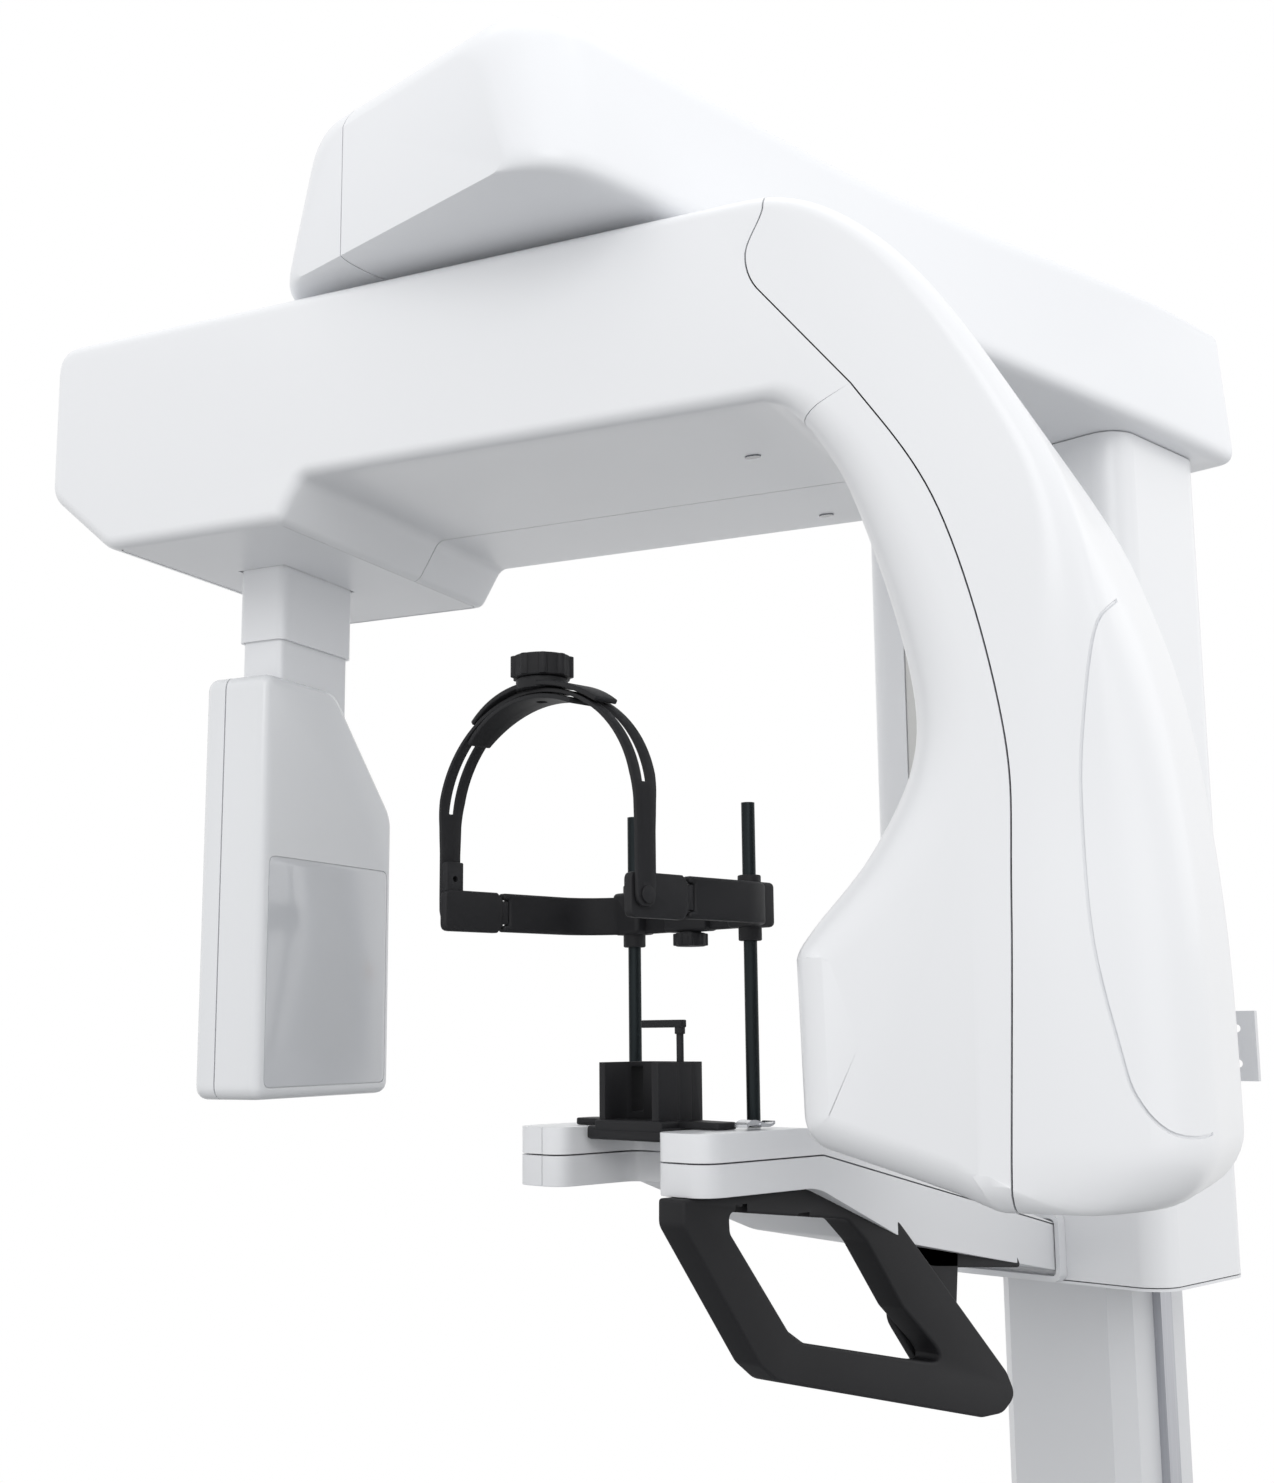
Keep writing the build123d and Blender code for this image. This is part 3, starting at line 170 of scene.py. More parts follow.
def makeBrushedGroup():
    # long fine scratches along one axis of the piece, for turned and ground metal
    tree = bpy.data.node_groups.new("brushedMetal", "ShaderNodeTree")
    groupSocket(tree, "Tint", "INPUT", "NodeSocketColor", (0.6, 0.6, 0.6, 1))
    groupSocket(tree, "Stretch", "INPUT", "NodeSocketVector", (400, 400, 8))
    groupSocket(tree, "Gloss", "INPUT", "NodeSocketFloat", 0.3)
    groupSocket(tree, "Color", "OUTPUT", "NodeSocketColor")
    groupSocket(tree, "Roughness", "OUTPUT", "NodeSocketFloat")
    groupSocket(tree, "Normal", "OUTPUT", "NodeSocketVector")
    nodes, links = tree.nodes, tree.links
    source = nodes.new("NodeGroupInput")
    result = nodes.new("NodeGroupOutput")
    place = nodes.new("ShaderNodeTexCoord")
    stretched = nodes.new("ShaderNodeVectorMath")
    stretched.operation = "MULTIPLY"
    links.new(place.outputs["Object"], stretched.inputs[0])
    links.new(source.outputs["Stretch"], stretched.inputs[1])
    lines = nodes.new("ShaderNodeTexNoise")
    lines.inputs["Scale"].default_value = 1
    lines.inputs["Detail"].default_value = 6
    links.new(stretched.outputs[0], lines.inputs["Vector"])
    darker = nodes.new("ShaderNodeMix")
    darker.data_type = "RGBA"
    darker.blend_type = "MULTIPLY"
    darker.inputs[7].default_value = (0.72, 0.72, 0.74, 1)
    links.new(lines.outputs["Fac"], darker.inputs["Factor"])
    links.new(source.outputs["Tint"], darker.inputs[6])
    links.new(darker.outputs[2], result.inputs["Color"])
    gloss = nodes.new("ShaderNodeMath")
    gloss.operation = "MULTIPLY_ADD"
    gloss.inputs[1].default_value = 0.16
    links.new(lines.outputs["Fac"], gloss.inputs[0])
    links.new(source.outputs["Gloss"], gloss.inputs[2])
    links.new(gloss.outputs[0], result.inputs["Roughness"])
    bump = nodes.new("ShaderNodeBump")
    bump.inputs["Strength"].default_value = 0.12
    bump.inputs["Distance"].default_value = 0.0002
    links.new(lines.outputs["Fac"], bump.inputs["Height"])
    links.new(bump.outputs["Normal"], result.inputs["Normal"])
    return tree


mouldedGroup = makeMouldedGroup()
brushedGroup = makeBrushedGroup()


def blankMaterial(name, group):
    material = bpy.data.materials.new(name)
    material.use_nodes = True
    tree = material.node_tree
    shader = tree.nodes["Principled BSDF"]
    use = tree.nodes.new("ShaderNodeGroup")
    use.node_tree = group
    tree.links.new(use.outputs["Color"], shader.inputs["Base Color"])
    tree.links.new(use.outputs["Roughness"], shader.inputs["Roughness"])
    tree.links.new(use.outputs["Normal"], shader.inputs["Normal"])
    return material, use, shader


def moulded(name, tint, shade, gloss, spread=0.06, grain=900, height=0.05, wear=0.3, coat=0.0, specular=0.5):
    material, use, shader = blankMaterial(name, mouldedGroup)
    use.inputs["Tint"].default_value = (*tint, 1)
    use.inputs["Shade"].default_value = (*shade, 1)
    use.inputs["Grain Scale"].default_value = grain
    use.inputs["Gloss"].default_value = gloss
    use.inputs["Gloss Spread"].default_value = spread
    use.inputs["Edge Wear"].default_value = wear
    use.inputs["Grain Height"].default_value = height
    shader.inputs["Coat Weight"].default_value = coat
    shader.inputs["Coat Roughness"].default_value = 0.12
    shader.inputs["Specular IOR Level"].default_value = specular
    return material


def brushed(name, tint, gloss, stretch=(400, 400, 8)):
    material, use, shader = blankMaterial(name, brushedGroup)
    use.inputs["Tint"].default_value = (*tint, 1)
    use.inputs["Stretch"].default_value = stretch
    use.inputs["Gloss"].default_value = gloss
    shader.inputs["Metallic"].default_value = 1
    return material


shellWhite = moulded("shellWhite", (0.80, 0.81, 0.828), (0.78, 0.79, 0.812),
                     0.32, 0.07, 1100, 0.035, 0.5, 0.12)
shelfWhite = moulded("shelfWhite", (0.79, 0.802, 0.825), (0.765, 0.778, 0.805),
                     0.34, 0.07, 1000, 0.04, 0.5, 0.1)
lowerWhite = moulded("lowerWhite", (0.77, 0.78, 0.80), (0.745, 0.755, 0.778), 0.38, 0.06, 1000, 0.05, 0.5)
panelGrey = moulded("panelGrey", (0.68, 0.68, 0.665), (0.655, 0.655, 0.642), 0.42, 0.05, 1200, 0.06, 0.4)
detectorGloss = moulded("detectorGloss", (0.76, 0.772, 0.79), (0.735, 0.748, 0.77),
                        0.24, 0.05, 900, 0.02, 0.5, 0.25)
glossPanel = moulded("glossPanel", (0.58, 0.595, 0.62), (0.555, 0.57, 0.60), 0.13, 0.04, 700, 0.01, 0.4, 0.8)
columnPaint = moulded("columnPaint", (0.70, 0.71, 0.73), (0.68, 0.69, 0.71), 0.34, 0.08, 700, 0.06, 0.3)
floorPaint = moulded("floorPaint", (0.62, 0.635, 0.655), (0.56, 0.575, 0.60), 0.48, 0.12, 500, 0.14, 0.3)
softBlack = moulded("softBlack", (0.0105, 0.0105, 0.012), (0.015, 0.015, 0.017), 0.56, 0.10, 1500, 0.08, 0.03,
                    specular=0.24)
gripBlack = moulded("gripBlack", (0.011, 0.011, 0.0125), (0.016, 0.016, 0.018), 0.58, 0.08, 1900, 0.14, 0.03,
                    specular=0.24)
frameDark = moulded("frameDark", (0.09, 0.092, 0.098), (0.07, 0.072, 0.078), 0.45, 0.1, 800, 0.08, 0.1)
stopRed = moulded("stopRed", (0.50, 0.012, 0.010), (0.42, 0.010, 0.010), 0.22, 0.05, 900, 0.02, 0.2, 0.4)
stopYellow = moulded("stopYellow", (0.78, 0.52, 0.03), (0.72, 0.47, 0.03), 0.35, 0.06, 900, 0.05, 0.2)
beltRubber = moulded("beltRubber", (0.022, 0.022, 0.024), (0.035, 0.035, 0.037), 0.72, 0.12, 1400, 0.2, 0.1)
castAlloy = brushed("castAlloy", (0.60, 0.61, 0.63), 0.38, (60, 60, 60))
groundSteel = brushed("groundSteel", (0.56, 0.57, 0.60), 0.24)
turnedSteel = brushed("turnedSteel", (0.58, 0.59, 0.61), 0.22, (12, 12, 500))
bluedSteel = brushed("bluedSteel", (0.028, 0.034, 0.036), 0.34, (500, 500, 20))
polishedAlloy = brushed("polishedAlloy", (0.78, 0.79, 0.81), 0.16, (30, 300, 300))
smokedLens = moulded("smokedLens", (0.10, 0.11, 0.13), (0.08, 0.09, 0.11), 0.08, 0.03, 300, 0.0, 0.0, 1.0)
print("materials made")


# ---- mesh helpers ----
def plainMesh(name, verts, faces):
    mesh = bpy.data.meshes.new(name)
    mesh.from_pydata([Vector(v) * mm for v in verts], [], faces)
    mesh.update()
    shape = bmesh.new()
    shape.from_mesh(mesh)
    bmesh.ops.remove_doubles(shape, verts=shape.verts, dist=2e-6)
    bmesh.ops.recalc_face_normals(shape, faces=shape.faces)
    shape.to_mesh(mesh)
    shape.free()
    obj = bpy.data.objects.new(name, mesh)
    bpy.context.scene.collection.objects.link(obj)
    return obj


def settle(obj):
    # runs the modifiers and keeps only their result
    graph = bpy.context.evaluated_depsgraph_get()
    mesh = bpy.data.meshes.new_from_object(obj.evaluated_get(graph))
    old = obj.data
    obj.modifiers.clear()
    obj.data = mesh
    bpy.data.meshes.remove(old)


def combine(obj, other, operation, careful=False, keep=False):
    step = obj.modifiers.new("cut", "BOOLEAN")
    step.object = other
    step.operation = operation
    step.solver = "EXACT"
    step.use_self = careful
    settle(obj)
    if not keep:
        bpy.data.objects.remove(other)
    return obj


def copyOf(obj, name):
    twin = bpy.data.objects.new(name, obj.data.copy())
    bpy.context.scene.collection.objects.link(twin)
    return twin


def soften(obj, radius, steps=3, angle=32):
    edge = obj.modifiers.new("round", "BEVEL")
    edge.width = radius * mm
    edge.segments = steps
    edge.limit_method = "ANGLE"
    edge.angle_limit = radians(angle)
    edge.use_clamp_overlap = True
    edge.harden_normals = False
    settle(obj)
    return obj


def polish(obj, material, angle=34):
    # smooth shading with crisp edges, and a mask of the outer edges for wear
    mesh = obj.data
    mesh.materials.clear()
    mesh.materials.append(material)
    mesh.polygons.foreach_set("use_smooth", [True] * len(mesh.polygons))
    mesh.set_sharp_from_angle(angle=radians(angle))
    shape = bmesh.new()
    shape.from_mesh(mesh)
    mask = [0.0] * len(shape.verts)
    for edge in shape.edges:
        if len(edge.link_faces) == 2:
            bend = edge.calc_face_angle_signed(0)
            if bend > 0.25:
                for v in edge.verts:
                    mask[v.index] = max(mask[v.index], min(bend, 1.0))
    shape.free()
    layer = mesh.attributes.new("edgeMask", "FLOAT", "POINT")
    layer.data.foreach_set("value", mask)
    return obj


def fillet(points, radii, steps=6):
    # rounds the corners of a closed outline
    count = len(points)
    path = []
    for i, here in enumerate(points):
        radius = radii[i] if isinstance(radii, (list, tuple)) else radii
        before, after = Vector(points[i - 1]), Vector(points[(i + 1) % count])
        here = Vector(here)
        a, b = (before - here), (after - here)
        if radius <= 0 or a.length < 1e-6 or b.length < 1e-6:
            path.append(tuple(here))
            continue
        spread = a.angle(b)
        if abs(spread - pi) < 0.02:
            path.append(tuple(here))
            continue
        reach = min(radius / max(0.05, (sin(spread / 2) / cos(spread / 2))), 0.48 * a.length, 0.48 * b.length)
        start, end = here + a.normalized() * reach, here + b.normalized() * reach
        for k in range(steps + 1):
            t = k / steps
            path.append(tuple((1 - t) ** 2 * start + 2 * t * (1 - t) * here + t * t * end))
    return path


def prism(name, outline, low, high, place):
    # outline in a plane, swept between two distances; place(a, b, c) gives the point in the row frame
    count = len(outline)
    verts = [place(a, b, low) for a, b in outline] + [place(a, b, high) for a, b in outline]
    faces = [tuple(range(count))[::-1], tuple(range(count, 2 * count))]
    faces += [(i, (i + 1) % count, count + (i + 1) % count, count + i) for i in range(count)]
    return plainMesh(name, verts, faces)


def flatPlace(x, y, z):
    return x, y, z


def sidePlace(y, z, x):
    return x, y, z


def boxLine(a, b, c, d):
    return [(a, b), (c, b), (c, d), (a, d)]


def roundLine(centre, radii, steps):
    # circle or ellipse as an outline
    turns = [2 * pi * k / steps for k in range(steps)]
    return [(centre[0] + radii[0] * cos(t), centre[1] + radii[1] * sin(t)) for t in turns]


def block(name, low, high):
    return prism(name, boxLine(low[0], low[1], high[0], high[1]), low[2], high[2], flatPlace)


def disc(name, centre, radius, low, high, steps=48):
    return prism(name, roundLine(centre, (radius, radius), steps), low, high, flatPlace)


def hermite(points, startWay, endWay, steps=8):
    # smooth line through the points that leaves and arrives along the given directions
    ways = []
    for i in range(len(points)):
        if i == 0:
            way = Vector(startWay).normalized() * (Vector(points[1]) - Vector(points[0])).length
        elif i == len(points) - 1:
            way = Vector(endWay).normalized() * (Vector(points[-1]) - Vector(points[-2])).length
        else:
            way = (Vector(points[i + 1]) - Vector(points[i - 1])) / 2
        ways.append(way)
    line = []
    for i in range(len(points) - 1):
        a, b = Vector(points[i]), Vector(points[i + 1])
        for k in range(steps):
            t = k / steps
            line.append(tuple((2 * t ** 3 - 3 * t ** 2 + 1) * a + (t ** 3 - 2 * t ** 2 + t) * ways[i]
                              + (3 * t ** 2 - 2 * t ** 3) * b + (t ** 3 - t ** 2) * ways[i + 1]))
    line.append(tuple(points[-1]))
    return line


def stitchRings(name, rings):
    # closed skin through equal rings of points, with flat ends
    count = len(rings[0])
    verts = [p for ring in rings for p in ring]
    faces = [tuple(range(count))[::-1], tuple(range(len(verts) - count, len(verts)))]
    for r in range(len(rings) - 1):
        for i in range(count):
            j = (i + 1) % count
            faces.append((r * count + i, r * count + j, (r + 1) * count + j, (r + 1) * count + i))
    return plainMesh(name, verts, faces)


def ready(obj, name, material, body, nodes=(), slot=None, angle=34):
    obj.name = name
    obj.data.name = name
    polish(obj, material, angle)
    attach(obj, body)
    if nodes:
        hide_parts(*nodes)
    if slot or nodes:
        slot or nodes[0]
    return obj


# ---- rotating arm ----
arm = {"turn": 20, "axisY": -692, "top": 2084, "half": 180, "end": -487, "outer": 511, "inner": 233,
       "foot": -767, "under": -166, "boxDrop": 38, "split": 49, "wall": 4, "seam": 1.4, "headRound": 110}
armWay = Vector((cos(radians(arm["turn"])), sin(radians(arm["turn"])), 0))
armAcross = Vector((-armWay.y, armWay.x, 0))       # away from the viewer's side


def armPlace(u, h, w):
    return tuple(Vector((0, arm["axisY"], arm["top"])) + armWay * u + armAcross * w + Vector((0, 0, h)))


def armUpPlace(u, w, h):
    return armPlace(u, h, w)


def armOutline():
    # side view of the arm as (u, height, edge rounding)
    outer, inner, foot, under = arm["outer"], arm["inner"], arm["foot"], arm["under"]
    shoulder = hermite([(215, 0), (318, -52), (412, -190), (478, -350), (505, -524), (outer, foot + 46)],
                       (1, 0), (0, -1), 9)
    heel = hermite([(outer, foot + 46), (outer - 40, foot)], (0, -1), (-1, 0), 8)
    throat = hermite([(inner, -592), (inner + 11, -568), (inner + 52, -517), (inner + 84, -455),
                      (inner + 88, -395), (inner + 67, -300), (inner + 36, -215), (inner - 12, under)],
                     (0.1, 1), (-1, 0.18), 8)
    boxUnder = under - arm["boxDrop"]
    tail = fillet([(inner - 12, under), (-203, under), (-226, boxUnder), (-417, boxUnder), (arm["end"], -146),
                   (arm["end"], 0), (215, 0)], [0, 14, 13, 26, 26, 26, 0], 7)
    toe = fillet([(outer - 40, foot), (inner + 154, foot), (inner + 4, foot + 45), (inner, -592)],
                 [0, 60, 28, 0], 7)
    line = []
    for path, first, last in ((shoulder, 11, 30), (heel, 30, 26), (toe, 26, 26), (throat, 26, 11),
                              (tail, 11, 11)):
        for k, p in enumerate(path[:-1]):
            t = k / len(path)
            swell = 34 * sin(pi * t) if path is throat else 0
            line.append((p[0], p[1], first + (last - first) * t + swell))
    # long straight stretches get points in between
    full = []
    for i, (u, h, r) in enumerate(line):
        nextU, nextH, nextR = line[(i + 1) % len(line)]
        parts = max(1, int(hypot(nextU - u, nextH - h) / 30))
        for k in range(parts):
            t = k / parts
            full.append((u + (nextU - u) * t, h + (nextH - h) * t, r + (nextR - r) * t))
    return full


def armSkin(name, inset):
    line = armOutline()
    count = len(line)
    area = 0
    for i, here in enumerate(line):
        after = line[(i + 1) % count]
        area += here[0] * after[1] - after[0] * here[1]
    side = 1 if area > 0 else -1
    half = arm["half"] - inset
    big = arm["headRound"]

    def ring(place, push):
        # push turns a point's own rounding into (distance across, further inset)
        points = []
        for i, (u, h, r) in enumerate(line):
            before, after = line[i - 1], line[(i + 1) % count]
            way = Vector((after[0] - before[0], after[1] - before[1])).normalized()
            normal = Vector((-way.y, way.x)) * side
            rounding = max(r - inset, 4)
            w, extra = push(rounding)
            bow = 0
            if abs(w) > half - big:
                bow = big - sqrt(max(0, big ** 2 - (abs(w) - half + big) ** 2))
            share = min(max((u - 330) / (arm["outer"] - 330), 0), 1)
            low = min(max((-h - 210) / 330, 0), 1)
            share = share * share * (3 - 2 * share) * low * low * (3 - 2 * low)
            pressed = extra + inset
            points.append(place(u + normal.x * pressed - bow * share, h + normal.y * pressed, w))
        return points

    rings = []
    bends = [0, 12, 26, 42, 60, 76, 90]
    for k in reversed(bends):
        a = radians(k)
        rings.append(ring(armPlace, lambda r: (-(half - r + r * sin(a)), r * (1 - cos(a)))))
    layers = 18
    for j in range(1, layers):
        f = -1 + 2 * j / layers
        f = sin(f * pi / 2) * 0.35 + f * 0.65
        rings.append(ring(armPlace, lambda r: (f * (half - r), 0)))
    for k in bends:
        a = radians(k)
        rings.append(ring(armPlace, lambda r: (half - r + r * sin(a), r * (1 - cos(a)))))
    return stitchRings(name, rings)


corner = (294, -167)
seamHalf = arm["seam"] / 2


def longSeam(shift):
    return ([(232 + shift, 60), (227 + shift, -14)]
            + hermite([(227 + shift, -14), (212 + shift, -48), (221 + shift, -78)],
                      (-0.3, -1), (0.6, -0.8), 10)[1:]
            + [(corner[0] + shift, corner[1])])


def tailSeam(shift):
    return hermite([(corner[0] + shift, corner[1]), (357 + shift, -273), (396 + shift, -430),
                    (397 + shift, -557), (386 + shift, arm["foot"] - 60)], (0.5, -0.75), (-0.03, -1), 12)


zones = {
    "beam": longSeam(-seamHalf) + [(arm["inner"] + 4, -193 + seamHalf), (-30, -260), (-547, -300),
                                   (-547, 60)],
    "outer": longSeam(seamHalf) + tailSeam(seamHalf)[1:] + [(601, arm["foot"] - 60), (601, 60)],
    "inner": tailSeam(-seamHalf) + [(100, arm["foot"] - 60), (100, -235),
                                    (arm["inner"] + 4, -193 - seamHalf)],
}

armShell = combine(armSkin("armShell", 0), armSkin("armCore", arm["wall"]), "DIFFERENCE")
combine(armShell, disc("spindleGap", (0, arm["axisY"]), 37, arm["top"] - 20, arm["top"] + 20), "DIFFERENCE")
bay = {"u": -320.5, "long": 180, "wide": 340, "corner": 8}
bayLow = arm["under"] - arm["boxDrop"]
bayCut = fillet(boxLine(bay["u"] - bay["long"] / 2, -bay["wide"] / 2, bay["u"] + bay["long"] / 2,
                        bay["wide"] / 2), bay["corner"])
combine(armShell, prism("bayCut", bayCut, bayLow - 5, bayLow + 6, armUpPlace), "DIFFERENCE")
lens = {"u": 166, "across": (-52, 137), "size": (7.3, 4.3)}
for w in lens["across"]:
    mouth = roundLine((lens["u"], w), lens["size"], 24)
    hole = prism("lensCut", mouth, arm["under"] - 3, arm["under"] + 8, armUpPlace)
    combine(armShell, hole, "DIFFERENCE")

# groove of the oval cap on the head: its depth and width, then the middle and facing of its drawing plane
capLook = {"deep": 1.2, "wide": 2.2, "centre": (477.7, -180, -539.3), "way": (-0.1508, 0.9848, 0.0857)}


def ribbon(points, wide):
    # closed thin outline that runs along an open line
    left, right = [], []
    for i, p in enumerate(points):
        a, b = points[max(i - 1, 0)], points[min(i + 1, len(points) - 1)]
        way = Vector((b[0] - a[0], b[1] - a[1])).normalized() * wide / 2
        left.append((p[0] - way.y, p[1] + way.x))
        right.append((p[0] + way.y, p[1] - way.x))
    return left + right[::-1]


def capPlace(mirror):
    # a plane seen square from the front right, in the arm's own (along, across, height)
    way = Vector(capLook["way"])
    level = way.cross(Vector((0, 0, 1))).normalized()
    rise = level.cross(way)

    def place(a, b, depth):
        p = Vector(capLook["centre"]) + level * a + rise * b + way * depth
        return armPlace(p.x, p.z, p.y * mirror)
    return place


capPath = hermite([(14, 208), (-1, 190), (-16, 165), (-27, 95), (-30, 41), (-27, -45), (-13, -119),
                   (-4, -151), (15, -175), (40, -183), (54, -177), (61, -163), (67, -145)],
                  (-0.7, -1), (0.3, 1), 5)


def scribe(cover):
    # the oval cap line, cut to one depth all over
    for mirror in (1, -1):
        line = prism("capCut", ribbon(capPath, capLook["wide"]), -140, 70, capPlace(mirror))
        combine(line, armSkin("capCore", capLook["deep"]), "DIFFERENCE")
        combine(cover, line, "DIFFERENCE", careful=True)


print("arm shell made")

coverSpecs = [
    ("beamFrontCover", "beam_front_cover", "beam", -200, arm["split"] - seamHalf),
    ("beamRearCover", "beam_rear_cover", "beam", arm["split"] + seamHalf, 200),
    ("headOuterCover", "head_outer_cover", "outer", -200, 200),
    ("headInnerCover", "head_inner_cover", "inner", -200, 200),
]
for name, node, zone, low, high in coverSpecs:
    cover = combine(copyOf(armShell, name), prism("zone", zones[zone], low, high, armPlace), "INTERSECT",
                    careful=True)
    if zone == "outer":
        scribe(cover)
    ready(cover, name, shellWhite, "rotating_arm", (node,))
bpy.data.objects.remove(armShell)
print("arm covers made")


# ---- upper shelf ----
shelf = {"front": -935, "back": 134, "low": 2092, "high": 2258, "noseLow": 195, "noseHigh": 149, "flare": 208,
         "topRound": 46, "bottomRound": 16, "noseRound": 62, "wall": 4, "capX": -73, "capBack": -602,
         "seam": 1.4}


def shelfRing(y, inset):
    # rounded trapezoid across the shelf at one distance from the column
    nose = shelf["front"] + inset
    t = min(max((y + 560) / 620, 0), 1)
    swell = t * t * (3 - 2 * t)
    halfLow = shelf["noseLow"] + (shelf["flare"] - shelf["noseLow"]) * swell
    halfHigh = shelf["noseHigh"] + (shelf["flare"] - 13 - shelf["noseHigh"]) * swell
    ease = min(max((y - nose) / shelf["noseRound"], 0), 1)
    pull = shelf["noseRound"] * (1 - sqrt(max(0, 1 - (1 - ease) ** 2)))
    drop = 0.85 * pull
    lift = 0.16 * pull
    low, high = shelf["low"] + inset + lift, shelf["high"] - inset - drop
    a, b = halfLow - inset - pull, halfHigh - inset - pull
    top = shelf["topRound"] - 26 * swell
    bottom = shelf["bottomRound"]
    outline = fillet([(-a, low), (a, low), (b, high), (-b, high)], [bottom, bottom, top, top], 9)
    return [(x, y, z) for x, z in outline]


def shelfSkin(name, inset):
    nose, tail = shelf["front"] + inset, shelf["back"] - inset
    steps = [shelf["noseRound"] * (1 - cos(radians(k))) for k in (14, 22, 30, 38, 46, 54, 62, 70, 80, 90)]
    places = [nose + step for step in steps]
    places += [-860 + 20 * k for k in range(48)]
    places = [y for y in places if y < tail - 4] + [tail - 3, tail]
    rings = [shelfRing(y, inset) for y in sorted(places)]
    rings[-1] = [(x * 0.985, y, z + (2175 - z) * 0.03) for x, y, z in rings[-1]]
    return stitchRings(name, rings)


shelfShell = combine(shelfSkin("shelfShell", 0), shelfSkin("shelfCore", shelf["wall"]), "DIFFERENCE")
slotEnds = [(65 * cos(radians(k)), -692 + (80 if 0 <= k <= 180 else -80) + 65 * sin(radians(k)))
            for k in range(0, 360, 10)]
combine(shelfShell, prism("slotCut", slotEnds, 2085, 2100, flatPlace), "DIFFERENCE")
combine(shelfShell, block("columnCut", (-119, -54, 2085), (119, 110, 2100)), "DIFFERENCE")
capZone = boxLine(-400, -1000, shelf["capX"], shelf["capBack"])
capGap = boxLine(-400, -1000, shelf["capX"] + shelf["seam"], shelf["capBack"] + shelf["seam"])
shelfCap = combine(copyOf(shelfShell, "shelfCap"), prism("zone", capZone, 2000, 2300, flatPlace), "INTERSECT")
combine(shelfShell, prism("zone", capGap, 2000, 2300, flatPlace), "DIFFERENCE")
ready(shelfCap, "shelfEndCap", shelfWhite, "carriage", ("shelf_end_cap",), angle=40)
ready(shelfShell, "shelfBody", shelfWhite, "carriage", ("shelf_cover", "shelf_tray"), angle=40)
print("shelf made")


# ---- patient table ----
table = {"top": 1359, "bottom": 1308, "half": 118, "front": -695, "notch": 57, "notchBack": -600,
         "neckY": -545, "rootHalf": 58, "rootY": -82.5, "edge": 11, "capX": -79, "rodX": 72.5, "rodsY": -584,
         "rod": 6}
half, notch, front, neck = table["half"], table["notch"], table["front"], table["neckY"]
tablePlan = fillet([(notch, front), (half, front), (half, neck), (table["rootHalf"], table["rootY"]),
                    (-table["rootHalf"], table["rootY"]), (-half, neck), (-half, front), (-notch, front),
                    (-notch, table["notchBack"]), (notch, table["notchBack"])],
                   [20, 24, 60, 0, 0, 60, 24, 20, 18, 18], 8)
tableSide = fillet([(-740, table["bottom"]), (-555, table["bottom"]), (-395, 1246), (-42, 1181), (-42, 1226),
                    (-560, table["top"]), (-740, table["top"])], [0, 70, 90, 0, 0, 120, 0], 10)
tableBody = combine(prism("tableBody", tablePlan, 1150, 1400, flatPlace),
                    prism("tableSide", tableSide, -160, 160, sidePlace), "INTERSECT")
soften(tableBody, table["edge"], 4, 40)
for x in (-table["rodX"], table["rodX"]):
    combine(tableBody, disc("rodCut", (x, table["rodsY"]), table["rod"] + 0.6, 1345, 1370, 32), "DIFFERENCE")
seamLine = [(-745, 1335), (-545, 1335), (-22, 1222)]


def seamZone(gap, far):
    return [(y, z + gap) for y, z in seamLine] + [(-22, 1222 + far), (-745, 1335 + far)]


def tableHalf(name, gap, far):
    zone = prism("zone", seamZone(gap, far), -160, 160, sidePlace)
    return combine(copyOf(tableBody, name), zone, "INTERSECT")


upper = tableHalf("tableUpper", 0.7, 250)
lower = tableHalf("tableLower", -0.7, -250)
bpy.data.objects.remove(tableBody)
for shell in (upper, lower):
    capSeam = block("capSeam", (table["capX"] - 0.5, -720, 1200), (table["capX"] + 0.5, -560, 1400))
    combine(shell, capSeam, "DIFFERENCE")
ready(upper, "tableUpper", shellWhite, "carriage", ("table_top_cover",), angle=30)
ready(lower, "tableLower", lowerWhite, "carriage", ("table_bottom_cover",), angle=30)
print("table made")


# ---- detector ----
detector = {"face": -288, "thick": 70, "half": 106, "top": -317, "low": -699, "edge": 9, "split": -334,
            "seam": 1.4}


def facePlace(w, h, u):
    return armPlace(u, h, w)


faceOutline = fillet([(-detector["half"], detector["low"]), (detector["half"], detector["low"]),
                      (detector["half"], -427), (4, detector["top"]), (-detector["half"], detector["top"])],
                     [14, 14, 34, 30, 14], 7)
detectorBody = prism("detectorBody", faceOutline, detector["face"] - detector["thick"], detector["face"],
                     facePlace)
soften(detectorBody, detector["edge"], 4, 40)
neckHole = [(-356.8, -55), (-356.8, 55), (-311.2, 55), (-311.2, -55)]
combine(detectorBody, prism("neckCut", neckHole, -390, -300, armUpPlace), "DIFFERENCE")
windowOutline = fillet(boxLine(-96, -689, 96, -483), 9, 5)
combine(detectorBody, prism("windowCut", windowOutline, -289.2, -280, facePlace), "DIFFERENCE")


def detectorHalf(name, first, last):
    zone = prism("zone", boxLine(first, -200, last, 200), -760, -280, armUpPlace)
    return combine(copyOf(detectorBody, name), zone, "INTERSECT")


frontHalf = detectorHalf("detectorFront", detector["split"] + detector["seam"] / 2, -250)
rearHalf = detectorHalf("detectorRear", -420, detector["split"] - detector["seam"] / 2)
bpy.data.objects.remove(detectorBody)
ready(frontHalf, "detectorFront", detectorGloss, "detector", ("detector_front",), angle=30)
ready(rearHalf, "detectorRear", detectorGloss, "detector", ("detector_rear",), angle=30)
pane = prism("detectorPane", fillet(boxLine(-95.3, -688.3, 95.3, -483.7), 8.5, 5),
             -289.2, -288.0, facePlace)
soften(pane, 0.5, 2, 40)
ready(pane, "detectorPane", glossPanel, "detector", ("detector_window",), angle=30)
print("detector made")


